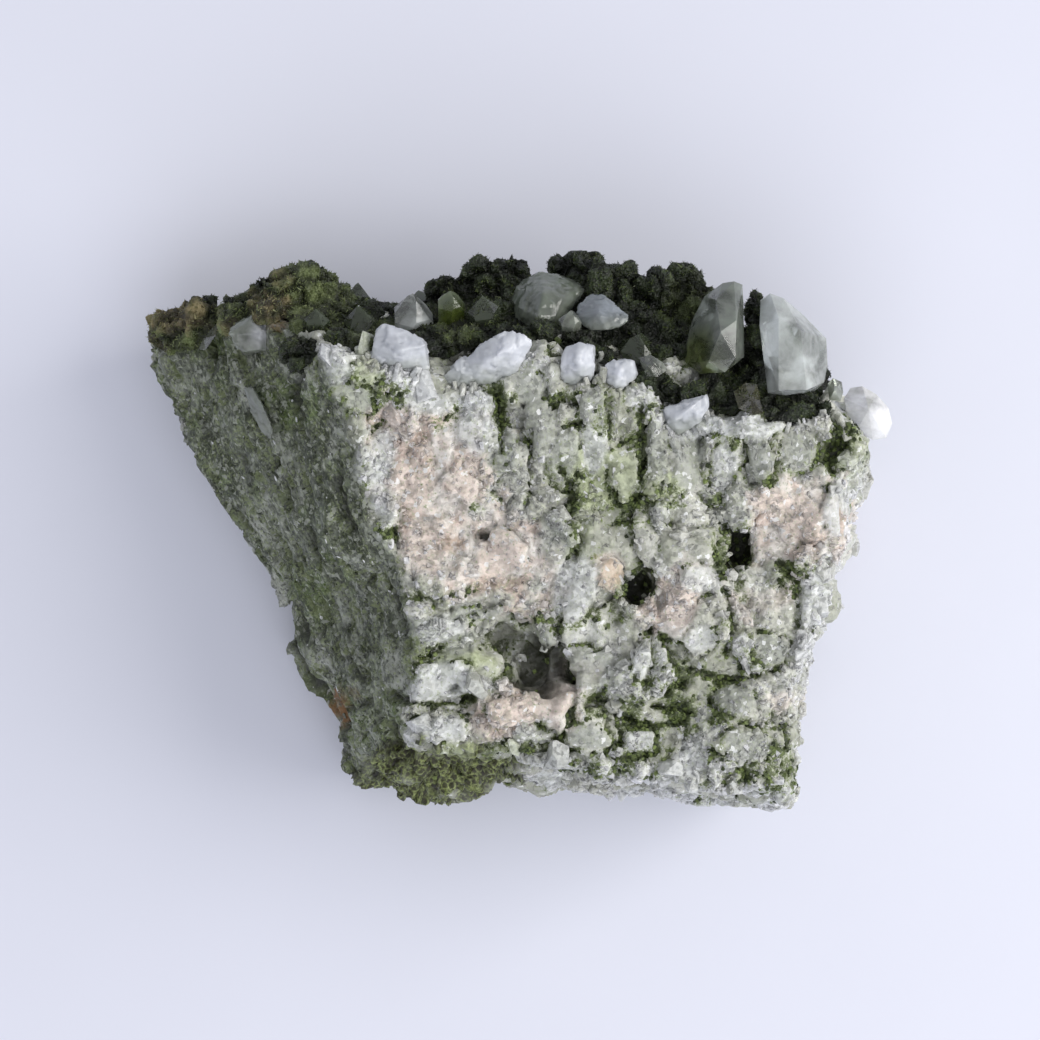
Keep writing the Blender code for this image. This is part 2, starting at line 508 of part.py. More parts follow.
def mesh_object(name, bm, colour, transmission=0.0):
    """Makes the mesh an object, in metres, with its own plain material."""
    mesh = bpy.data.meshes.new(name)
    bmesh.ops.scale(bm, vec=(MM, MM, MM), verts=bm.verts[:])
    bm.to_mesh(mesh)
    bm.free()
    made = bpy.data.objects.new(name, mesh)
    bpy.context.scene.collection.objects.link(made)
    material = bpy.data.materials.new(name)
    material.use_nodes = True
    shader = material.node_tree.nodes["Principled BSDF"]
    shader.inputs["Base Color"].default_value = (*colour, 1.0)
    shader.inputs["Roughness"].default_value = 0.15 if transmission else 0.7
    shader.inputs["Metallic"].default_value = 0.0
    shader.inputs["Transmission Weight"].default_value = transmission
    made.data.materials.append(material)
    return made


def clear_scene():
    for left_over in list(bpy.data.objects):
        bpy.data.objects.remove(left_over)


def main():
    clear_scene()
    rock = vein_rock()
    crust = epidote_crust(rock)
    pieces = quartz(rock)
    sockets = [socket for _, _, socket, _ in pieces]
    crust = keep_largest(less(crust, [grown(rock, CUT_GAP)] + sockets))
    crust = thinned(crust, CRUST_TRIANGLES[1])
    rock = thinned(keep_largest(less(rock, sockets)), ROCK_TRIANGLES[1])
    level_base(rock)
    solids = [("quartz_matrix", rock, PALE, 0.0), ("epidote_crust", crust, EPIDOTE, 0.0)]
    for name, solid, _, colour in pieces:
        solids.append((name, solid, colour, 0.0 if colour is MILKY else SEEN_THROUGH))
    shift = -base_centre([bm for _, bm, _, _ in solids])
    for name, bm, colour, transmission in solids:
        bmesh.ops.translate(bm, vec=shift, verts=bm.verts[:])
        mesh_object(name, bm, colour, transmission)


main()
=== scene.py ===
# %% [markdown]
# # An epidote cluster, dressed
#
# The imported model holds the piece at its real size: a lump of vein rock, a crust of epidote
# on its far side and the quartz that stands out of it. It comes in as a fixed frame, in
# metres, with the origin under its middle. This lesson gives it its surfaces. Rock looks
# like rock because of broken shapes at several sizes at once, so most steps here make
# shape, and the materials only finish it.

# %% Load the frame
import math
import random

import bmesh
import bpy
import numpy as np
from mathutils import Matrix, Vector, noise
from mathutils.bvhtree import BVHTree


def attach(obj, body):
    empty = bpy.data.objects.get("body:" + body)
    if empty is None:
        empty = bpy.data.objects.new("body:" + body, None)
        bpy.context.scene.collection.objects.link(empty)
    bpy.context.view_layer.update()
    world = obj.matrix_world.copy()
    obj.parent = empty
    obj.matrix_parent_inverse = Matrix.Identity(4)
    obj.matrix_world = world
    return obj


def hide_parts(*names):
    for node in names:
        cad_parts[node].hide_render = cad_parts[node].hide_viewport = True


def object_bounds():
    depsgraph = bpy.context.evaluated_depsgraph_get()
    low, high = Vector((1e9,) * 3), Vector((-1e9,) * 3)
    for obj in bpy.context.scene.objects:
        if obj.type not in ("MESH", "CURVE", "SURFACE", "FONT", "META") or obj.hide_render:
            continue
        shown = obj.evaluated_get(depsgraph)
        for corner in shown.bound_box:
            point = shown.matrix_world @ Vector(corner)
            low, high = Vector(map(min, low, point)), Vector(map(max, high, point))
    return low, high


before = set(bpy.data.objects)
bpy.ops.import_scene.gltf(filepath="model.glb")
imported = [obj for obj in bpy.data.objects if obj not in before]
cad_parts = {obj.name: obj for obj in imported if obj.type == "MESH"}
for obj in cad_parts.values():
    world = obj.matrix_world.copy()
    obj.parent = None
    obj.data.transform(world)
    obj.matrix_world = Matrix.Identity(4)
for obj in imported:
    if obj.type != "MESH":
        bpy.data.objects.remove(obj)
CAD_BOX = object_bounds()
MM = 0.001
LOWEST, HIGHEST = [np.array(corner) for corner in CAD_BOX]
print("pieces in the frame:", len(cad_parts))

# %% [markdown]
# ## The photographer's view
#
# The piece was photographed from straight above. The patches of its broken face are placed
# from that view, so one function turns a place in the picture into a place on the
# piece, and one turns it back. Both need the real size of a pixel at the height of the
# face, and the camera's distance.

# %% The view from above
PICTURE_SIDE = 1040
PICTURE_MIDDLE = 520
PIXEL = 0.1325 * MM  # the real size of a pixel at FACE_HEIGHT
FACE_HEIGHT = 46 * MM
CAMERA_HEIGHT = 500 * MM
UNDER_CAMERA = Vector((1.08, 1.75)) * MM
SENSOR = 36.0


def pixel_at(height):
    return PIXEL * (CAMERA_HEIGHT - height) / (CAMERA_HEIGHT - FACE_HEIGHT)


def spot(px, py, height_mm):
    """The place that shows at this pixel, at this height."""
    step = pixel_at(height_mm * MM)
    across = (px - PICTURE_MIDDLE) * step + UNDER_CAMERA.x
    return Vector((across, (PICTURE_MIDDLE - py) * step + UNDER_CAMERA.y, height_mm * MM))


def seen_at(point):
    """The pixel where this place shows."""
    step = pixel_at(point.z)
    across = (point.x - UNDER_CAMERA.x) / step + PICTURE_MIDDLE
    return Vector((across, PICTURE_MIDDLE - (point.y - UNDER_CAMERA.y) / step))


camera = bpy.data.objects.new("camera", bpy.data.cameras.new("camera"))
bpy.context.scene.collection.objects.link(camera)
camera.location = (UNDER_CAMERA.x, UNDER_CAMERA.y, CAMERA_HEIGHT)
camera.data.sensor_width = SENSOR
camera.data.lens = SENSOR * (CAMERA_HEIGHT - FACE_HEIGHT) / (PICTURE_SIDE * PIXEL)
camera.data.clip_start = 0.01
bpy.context.scene.camera = camera
print("lens:", round(camera.data.lens, 1), "mm")

# %% [markdown]
# ## Table and light
#
# The piece lies on white paper by a large window. The light is wide and soft and comes
# mostly from the right, so the shadow on the left is broad, with no hard edge.

# %% Paper and window light
bpy.context.scene.view_settings.view_transform = "Standard"


def linear(code, alpha=1.0):
    """An sRGB hex value as Blender's linear colour."""
    parts = [int(code[i:i + 2], 16) / 255 for i in (1, 3, 5)]
    return (*[c / 12.92 if c <= 0.04045 else ((c + 0.055) / 1.055) ** 2.4 for c in parts], alpha)


def node(tree, kind, inputs=None, **settings):
    """Adds a node. inputs gives each socket a value, or the output that feeds it."""
    made = tree.nodes.new(kind)
    for name, value in settings.items():
        setattr(made, name, value)
    for socket, value in (inputs or {}).items():
        if isinstance(value, bpy.types.NodeSocket):
            tree.links.new(value, made.inputs[socket])
        else:
            made.inputs[socket].default_value = value
    return made


def new_material(name):
    """A material with only its output, and the tree to build in."""
    made = bpy.data.materials.new(name)
    made.use_nodes = True
    made.node_tree.nodes.clear()
    return made, made.node_tree


def finish_material(tree, shader):
    node(tree, "ShaderNodeOutputMaterial", {"Surface": shader.outputs[0]})


def per_mm(size):
    """The Scale of a pattern whose features are this many millimetres across."""
    return 1 / (size * MM)


paper_material, tree = new_material("matt white paper")
place = node(tree, "ShaderNodeTexCoord")
mottle = node(tree, "ShaderNodeTexNoise", {"Vector": place.outputs["Object"], "Scale": per_mm(60), "Detail": 3.0})
tone = node(tree, "ShaderNodeMix", {0: mottle.outputs["Fac"], 6: linear("#d8dae5"), 7: linear("#dfe1ec")},
            data_type="RGBA")
finish_material(tree, node(tree, "ShaderNodeBsdfPrincipled", {"Base Color": tone.outputs[2], "Roughness": 0.9}))

bm = bmesh.new()
bmesh.ops.create_grid(bm, x_segments=1, y_segments=1, size=1.5)
mesh = bpy.data.meshes.new("paper")
bm.to_mesh(mesh)
bm.free()
paper = bpy.data.objects.new("paper", mesh)
bpy.context.scene.collection.objects.link(paper)
paper.data.materials.append(paper_material)


def window(name, place, size, watts, colour):
    """A soft rectangular light that faces the piece."""
    light = bpy.data.lights.new(name, "AREA")
    light.shape = "RECTANGLE"
    light.size, light.size_y = size
    light.energy = watts
    light.color = linear(colour)[:3]
    lamp = bpy.data.objects.new(name, light)
    bpy.context.scene.collection.objects.link(lamp)
    lamp.location = place
    lamp.rotation_euler = (Vector((0, 0, 0.02)) - Vector(place)).to_track_quat("-Z", "Y").to_euler()
    return lamp


window("window", (0.85, 0.12, 0.62), (0.8, 0.8), 8.7, "#fffdf9")
window("fill", (0.2, -0.75, 0.9), (1.2, 1.2), 6.0, "#f6f7ff")
world = bpy.data.worlds.new("room")
bpy.context.scene.world = world
world.use_nodes = True
world.node_tree.nodes["Background"].inputs["Color"].default_value = linear("#f1f3fb")
world.node_tree.nodes["Background"].inputs["Strength"].default_value = 0.57

# %% [markdown]
# ## Where the minerals are
#
# The broken face isn't one colour. There are patches of pink feldspar, white quartz, veins
# and nests of green epidote, open pits, and a spongy brown-green patch. Each kind is a list
# of soft ellipses by the picture, with noise to fray their edges: middle, half widths, turn
# in degrees and strength. They become numbers on the points of the mesh, which the
# materials read. The patches reach down through the rock, as layers in a vein do.

# %% Patches by mineral
PINK = [(430, 470, 62, 70, 30, 1.0), (500, 560, 60, 62, 20, 1.0), (450, 545, 60, 45, 40, 0.9),
        (545, 700, 48, 34, -10, 1.0), (500, 715, 30, 26, 0, 0.9), (805, 515, 48, 44, 20, 0.95),
        (760, 545, 20, 22, 0, 0.8), (612, 568, 16, 14, 0, 0.9), (672, 610, 28, 38, 10, 0.8),
        (690, 575, 26, 16, 0, 0.6), (760, 600, 30, 12, 0, 0.4), (790, 700, 24, 12, 0, 0.35)]
WHITE = [(380, 462, 26, 40, 15, 1.0), (402, 350, 30, 28, 0, 1.0), (447, 728, 20, 14, 0, 1.0),
         (455, 680, 48, 24, 10, 0.8), (390, 660, 26, 22, 0, 0.7), (470, 435, 28, 24, 0, 0.9),
         (560, 560, 30, 60, 10, 0.55), (590, 640, 30, 40, 0, 0.5), (840, 520, 24, 80, 5, 0.7),
         (620, 796, 110, 10, 2, 1.0), (770, 790, 30, 12, 0, 0.9), (815, 640, 20, 90, 5, 0.6),
         (740, 425, 40, 12, 0, 1.0), (683, 418, 28, 22, 0, 0.8), (490, 365, 50, 24, -20, 0.7),
         (335, 365, 30, 28, 0, 0.8), (400, 392, 44, 20, 10, 0.8), (455, 402, 40, 16, 0, 0.7),
         (540, 378, 20, 20, 0, 0.6), (650, 402, 16, 14, 0, 0.7), (590, 420, 20, 30, 0, 0.4)]
GREEN = [(600, 767, 50, 9, 2, 1.0), (690, 700, 60, 44, 20, 0.65), (740, 660, 60, 26, -20, 0.6),
         (640, 690, 30, 60, 20, 0.55), (790, 575, 34, 12, -15, 0.9), (770, 770, 44, 26, 0, 0.9),
         (650, 760, 40, 24, 0, 0.7), (560, 615, 34, 22, -10, 0.6), (480, 610, 30, 14, -20, 0.7),
         (400, 640, 30, 10, 30, 0.6), (640, 585, 22, 20, 0, 1.0), (735, 540, 26, 26, 0, 1.0),
         (620, 500, 60, 16, 0, 0.55), (690, 500, 60, 10, 0, 0.7), (660, 405, 60, 10, 25, 0.6),
         (600, 420, 8, 50, 12, 0.8), (505, 430, 8, 46, -8, 0.8), (560, 470, 10, 50, 8, 0.6),
         (640, 440, 8, 50, -6, 0.7), (470, 500, 10, 20, 0, 0.6), (520, 640, 40, 40, 0, 0.3),
         (785, 470, 60, 16, -20, 0.7), (850, 440, 30, 26, 30, 0.8), (560, 400, 60, 12, 5, 0.5),
         (430, 410, 60, 18, 35, 0.6), (360, 400, 30, 40, 20, 0.7), (480, 755, 80, 10, -4, 0.9),
         (735, 620, 30, 20, 0, 0.4), (810, 790, 20, 14, 0, 1.0)]
LIME = [(600, 480, 60, 40, 0, 0.8), (500, 600, 60, 20, 10, 0.7), (440, 650, 60, 16, 20, 0.8),
        (560, 520, 40, 60, 0, 0.5), (640, 600, 40, 30, 0, 0.5), (350, 380, 30, 30, 0, 0.7),
        (480, 748, 110, 8, -4, 1.0), (850, 450, 30, 30, 0, 0.5), (400, 520, 12, 60, 20, 0.5)]
OCHRE = [(175, 318, 42, 16, -8, 1.0), (268, 306, 20, 20, 0, 1.0), (232, 330, 26, 12, -10, 0.8),
         (150, 350, 16, 30, 0, 0.6), (280, 280, 14, 12, 0, 0.5)]
OLIVE = [(200, 345, 40, 22, -10, 1.0), (300, 300, 50, 34, 0, 0.8), (150, 325, 20, 20, 0, 0.8),
         (235, 322, 60, 22, -14, 0.9),
         (375, 340, 30, 24, 0, 0.4), (455, 320, 20, 30, 0, 0.4), (690, 300, 30, 26, 0, 0.3)]
MOSS = [(440, 778, 82, 32, -6, 1.0), (395, 762, 30, 24, 0, 1.0), (500, 770, 30, 16, 0, 0.7)]
RUST = [(338, 705, 12, 26, 20, 1.0), (272, 308, 18, 18, 0, 0.5), (452, 548, 16, 10, 0, 0.5),
        (160, 310, 30, 12, -20, 0.25), (600, 560, 12, 8, 0, 0.3)]
PITS = [(535, 665, 30, 34, 20, 1.0), (505, 640, 14, 18, 0, 0.8), (735, 545, 13, 22, 10, 1.0),
        (640, 585, 13, 18, 20, 1.0), (485, 537, 5, 4, 0, 1.0), (750, 600, 8, 6, 0, 0.6),
        (455, 690, 6, 5, 0, 0.8), (660, 600, 6, 12, 0, 0.6), (452, 612, 4, 4, 0, 0.8)]

VEIN = [(283, 590, 5, 44, -14, 1.0), (300, 660, 5, 40, -22, 1.0), (262, 530, 5, 26, -20, 0.6),
        (250, 405, 6, 30, -30, 0.9), (330, 445, 5, 16, 0, 0.6), (268, 505, 4, 16, -20, 0.6)]
GROWN = [(300, 405, 26, 30, 0, 0.9), (240, 400, 16, 22, -20, 0.5), (340, 460, 12, 30, -10, 0.8),
         (320, 590, 34, 40, -20, 0.7), (205, 350, 24, 16, 0, 0.7), (370, 690, 26, 50, 0, 0.8),
         (230, 500, 14, 40, -25, 0.5), (390, 730, 24, 30, 0, 0.8), (410, 560, 8, 24, -20, 0.6)]
CRACKS = [([(296, 606), (304, 640), (312, 668), (324, 694), (340, 716), (348, 752)], 6, 2.8),
          ([(392, 596), (394, 612), (402, 626), (409, 636)], 2.5, 1.3), ([(391, 726), (396, 746)], 5, 1.6),
          ([(396, 696), (410, 704), (440, 706), (468, 701), (480, 690)], 3.5, 1.2),
          ([(340, 655), (352, 668), (360, 680)], 4, 1.0), ([(352, 708), (366, 700)], 4, 1.0),
          ([(414, 660), (440, 652), (470, 646), (500, 630)], 3, 1.0), ([(430, 616), (460, 606), (500, 604)], 2.5, 0.8),
          ([(497, 392), (503, 420), (500, 452)], 3.5, 1.2), ([(530, 430), (533, 470), (527, 505)], 3.5, 1.3),
          ([(560, 468), (574, 490), (573, 508)], 3.5, 1.3), ([(640, 405), (646, 440), (640, 482)], 3.5, 1.2),
          ([(607, 400), (612, 436)], 3, 1.2), ([(470, 470), (484, 484), (478, 500)], 3, 1.0),
          ([(700, 440), (702, 474)], 3, 1.0), ([(745, 440), (747, 470)], 3, 1.0), ([(660, 520), (690, 528), (730, 522)], 3, 0.9),
          ([(585, 520), (582, 545), (575, 560)], 3, 1.0), ([(650, 630), (655, 660), (645, 690)], 4, 1.3),
          ([(700, 560), (712, 575), (745, 580)], 3, 1.0), ([(725, 590), (735, 625), (728, 655)], 3.5, 1.2),
          ([(560, 655), (575, 690), (570, 720)], 4, 1.3), ([(690, 670), (720, 680), (760, 676)], 4, 1.2),
          ([(610, 715), (640, 726), (680, 722)], 4, 1.2), ([(780, 560), (800, 590), (796, 625)], 3.5, 1.2),
          ([(740, 720), (770, 730), (795, 722)], 4, 1.2), ([(540, 752), (580, 756), (640, 756)], 3, 1.0),
          ([(300, 375), (290, 395), (300, 415)], 5, 1.4), ([(335, 480), (342, 510), (352, 530)], 4, 1.2),
          ([(238, 455), (250, 480)], 4, 1.0), ([(282, 480), (290, 505)], 4, 1.0), ([(308, 530), (316, 560)], 4, 1.1)]
TUCK = [(824, 715, 30, 110, 6, 1.0)]
BULGE = [(298, 655, 22, 70, -16, 1.0), (355, 755, 16, 26, -20, 1.0)]
TERRACE = [(460, 618, 46, 34, -10, 1.0)]
COMB_TOP, COMB_FOOT = 340, 485  # between these heights in the picture the grains are long and upright


def place_in(seen, px, py, wide, high, turn):
    """Where the pixel lies in an ellipse, whose rim is at length 1, or None far from it."""
    east, north = seen.x - px, seen.y - py
    if abs(east) > 2.2 * max(wide, high) or abs(north) > 2.2 * max(wide, high):
        return None
    cos, sin = math.cos(math.radians(turn)), math.sin(math.radians(turn))
    return Vector(((east * cos + north * sin) / wide, (north * cos - east * sin) / high))


def patch_strength(patches, seen, fray):
    """How strongly the patches show at this pixel, from 0 to 1. fray moves their edges."""
    best = 0.0
    for *ellipse, strength in patches:
        place = place_in(seen, *ellipse)
        if place:
            inside = 1 - place.length + fray
            best = max(best, strength * min(max(inside * 2.2 + 0.3, 0.0), 1.0))
    return best


def crack_depth(seen, fray):
    """How deep the crack at this pixel is, in millimetres."""
    deepest = 0.0
    for line, half, depth in CRACKS:
        if not line[0][1] - 20 < seen.y < line[-1][1] + 20 and not line[-1][1] - 20 < seen.y < line[0][1] + 20:
            continue
        for (x0, y0), (x1, y1) in zip(line, line[1:]):
            run = Vector((x1 - x0, y1 - y0))
            off = Vector((seen.x - x0, seen.y - y0))
            share = min(max(off.dot(run) / run.length_squared, 0.0), 1.0)
            near = 1 - (off - run * share).length / (half * (1.3 + fray))
            deepest = max(deepest, depth * min(max(near * 1.6, 0.0), 1.0))
    return deepest


# %% [markdown]
# The left side is another surface altogether: the green, fibrous wall of the vein. It lies
# left of the ridge and looks outwards. On the ridge the two meet in a frayed line.

# %% The flank and the wall
RIDGE = [(318, 350), (352, 430), (362, 485), (386, 540), (408, 600), (417, 650), (404, 700), (398, 748), (420, 830)]
STREAK = Vector((0.45, -0.88, -0.10)).normalized()


def ridge_across(py):
    """How far across the picture the ridge lies at this height in it."""
    for (x0, y0), (x1, y1) in zip(RIDGE, RIDGE[1:]):
        if py <= y1:
            return x0 + (x1 - x0) * (py - y0) / (y1 - y0)
    return RIDGE[-1][0]


def flank_share(seen, normal, fray):
    """1 on the green flank, 0 on the pale breaks."""
    beyond = (ridge_across(seen.y) - seen.x) / 14 + fray * 1.5
    facing = min(max(0.75 + normal.z * 1.2 - normal.y * 0.8, 0.0), 1.0)
    return min(max(beyond + 0.5, 0.0), 1.0) * facing


# %% [markdown]
# ## The rock
#
# The frame's rock is a closed shell of a few thousand flat triangles. A voxel remesh gives
# it even, fine squares, and then each point moves along its normal. Vein quartz breaks into
# lumps of half a centimetre with creases between them, and each lump into smaller cells,
# each on its own slant. Epidote has grown in the creases. So the relief is worked out lump
# by lump and cell by cell, and not from smooth noise, which looks like clay.

# %% Fine meshes from the frame
ROCK_VOXEL = 0.56
CRUST_VOXEL = 0.42


def new_object(name, bm, smooth=False):
    """Makes the bmesh an object with its place in its mesh."""
    mesh = bpy.data.meshes.new(name)
    bm.to_mesh(mesh)
    bm.free()
    made = bpy.data.objects.new(name, mesh)
    bpy.context.scene.collection.objects.link(made)
    if smooth:
        mesh.shade_smooth()
    return made


def voxel_copy(name, node_names, voxel, smooth=False, knobs=()):
    """One fine closed mesh round these nodes and these round knobs."""
    bm = bmesh.new()
    for node_name in node_names:
        bm.from_mesh(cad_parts[node_name].data)
    bmesh.ops.remove_doubles(bm, verts=bm.verts[:], dist=1e-6)
    for px, py, height, *radii in knobs:
        place = Matrix.Translation(spot(px, py, height)) @ Matrix.Diagonal([r * MM for r in radii] + [1.0])
        bmesh.ops.create_icosphere(bm, subdivisions=3, radius=1.0, matrix=place)
    made = new_object(name, bm)
    remesh = made.modifiers.new("fine", "REMESH")
    remesh.mode = "VOXEL"
    remesh.voxel_size = voxel * MM
    remesh.use_smooth_shade = smooth
    graph = bpy.context.evaluated_depsgraph_get()
    fine = bpy.data.meshes.new_from_object(made.evaluated_get(graph))
    made.modifiers.clear()
    made.data = fine
    return made


def tree_of(names):
    """A search tree over these nodes of the frame."""
    bm = bmesh.new()
    for name in names:
        bm.from_mesh(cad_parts[name].data)
    found = BVHTree.FromBMesh(bm)
    bm.free()
    return found


def keep_inside(mesh):
    """Moves each point that has left the frame's box back to its side."""
    points = np.empty(len(mesh.vertices) * 3)
    mesh.vertices.foreach_get("co", points)
    mesh.vertices.foreach_set("co", np.clip(points.reshape(-1, 3), LOWEST, HIGHEST).ravel())
    mesh.update()


CRYSTALS = sorted(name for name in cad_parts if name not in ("quartz_matrix", "epidote_crust"))
SEAT = 0.8 * MM  # a point this near to what it touches is drawn up to it
SUNK = 0.12 * MM


def seated(point, others):
    """The point drawn into a neighbour that is near it, or None."""
    near, normal, _, distance = others.find_nearest(point, SEAT)
    return near - normal * SUNK if near else None


# %% Lumps and cells
LUMP = 6.2 * MM
CELL = 1.7 * MM
FLANK_LUMP = 4.4 * MM
FLANK_CELL = 1.1 * MM
UPRIGHT = Vector((0, 1, 0))


def clamp(value):
    return min(max(value, 0.0), 1.0)


def blend(first, second, share):
    """A colour between two, in linear light."""
    share = clamp(share)
    return [a + (b - a) * share for a, b in zip(first, second)]


def lump_at(point, size, way, drawn_out):
    """How far the point is from the border of its lump, three numbers of the lump's own, and its slant here."""
    moved = point + noise.noise_vector(point / (0.9 * size)) * 0.42 * size
    moved += noise.noise_vector(point / (0.25 * size)) * 0.14 * size
    moved = moved - way * (drawn_out * moved.dot(way))
    distances, middles = noise.voronoi(moved / size)
    own = noise.cell_vector(middles[0] * 17.3)
    slant = (own - Vector((0.5, 0.5, 0.5))).dot(moved / size - middles[0])
    return distances[1] - distances[0], own, slant


def face_shape(point, comb, calm):
    """Height over the broken face, how deep the crease is here, and the lump's own numbers. calm levels it."""
    border, own, slant = lump_at(point, LUMP, UPRIGHT, 0.5 * comb)
    cell_border, cell_own, cell_slant = lump_at(point, CELL, UPRIGHT, 0.45 * comb)
    crease = max(1 - border / 0.2, 0.0) * clamp(noise.noise(point / (6 * MM)) * 1.8 + 0.5) * (1 - calm)
    height = (own.x - 0.5) * 1.3 + min(border * 3.0, 0.7) + slant * 1.5 - crease * 1.5
    rough = 0.3 + 0.7 * own.z
    fine = rough * ((cell_own.x - 0.5) * 0.7 + cell_slant * 0.9 + min(cell_border * 2.0, 0.4))
    return (height * (1 - 0.8 * calm) + fine * (1 - 0.5 * calm) - 0.55) * MM, crease, own


TERRACE_RISE = 0.3
TERRACE_TOP = 594
TERRACE_STEP = 24


def terrace_step(seen, fray):
    """How far down its own step this pixel lies, from 0 to 1, where slabs lie like roof tiles."""
    return ((seen.y + TERRACE_RISE * (seen.x - 460) + fray * 8 - TERRACE_TOP) / TERRACE_STEP) % 1


def flank_shape(point):
    """The same for the flank, whose lumps are drawn out along its grain."""
    border, own, slant = lump_at(point, FLANK_LUMP, STREAK, 0.5)
    cell_border, cell_own, cell_slant = lump_at(point, FLANK_CELL, STREAK, 0.6)
    crease = max(1 - border / 0.15, 0.0) * clamp(noise.noise(point / (6 * MM)) * 1.6 + 0.25)
    height = (own.x - 0.5) * 0.8 + min(border, 0.4) * 0.8 + slant * 1.0 - crease * 1.0
    hole = clamp(cell_own.z * 8 - 6.8)
    height += (cell_own.x - 0.5) * 0.6 + cell_slant * 0.8 - hole * 0.9
    return (height - 0.2) * MM, max(crease, hole), own


# %% Colours of the rock
GREY_QUARTZ = linear("#a9ab9c")
PALE_QUARTZ = linear("#d0d0c6")
MILKY = linear("#dfe1e0")
LIME_QUARTZ = linear("#b4bd93")
PALE_FELDSPAR = linear("#e6e0d8")
FELDSPAR = linear("#d9c6b9")
FLANK_DARK = linear("#454d35")
FLANK_GREY = linear("#8b9082")
FLANK_PALE = linear("#b9bcb3")
FLANK_GREEN = linear("#5a6b38")


def face_tint(own, strength, cloud):
    """The colour of the quartz or feldspar here, without the green that grows on it."""
    tint = blend(GREY_QUARTZ, PALE_QUARTZ, own.y * 1.1 + cloud * 0.6)
    tint = blend(tint, MILKY, strength["white"] * (0.4 + own.z) + clamp(own.z * 3 - 2.3))
    tint = blend(tint, LIME_QUARTZ, strength["lime"] * clamp(own.x * 1.8 - 0.4 + cloud))
    tint = blend(tint, PALE_FELDSPAR, strength["pink"] * 1.5)
    return blend(tint, FELDSPAR, strength["pink"] * clamp(own.z * 1.4 - 0.25 + cloud * 1.4))


def flank_tint(own, strength, cloud):
    tint = blend(FLANK_DARK, FLANK_GREY, own.y * 1.1 - 0.1 + cloud)
    tint = blend(tint, FLANK_PALE, clamp(own.z * 2.4 - 1.75 + cloud * 0.8))
    tint = blend(tint, FLANK_PALE, strength["vein"])
    return blend(tint, FLANK_GREEN, clamp(strength["grown"] + own.x * 1.4 - 1.0 + cloud))
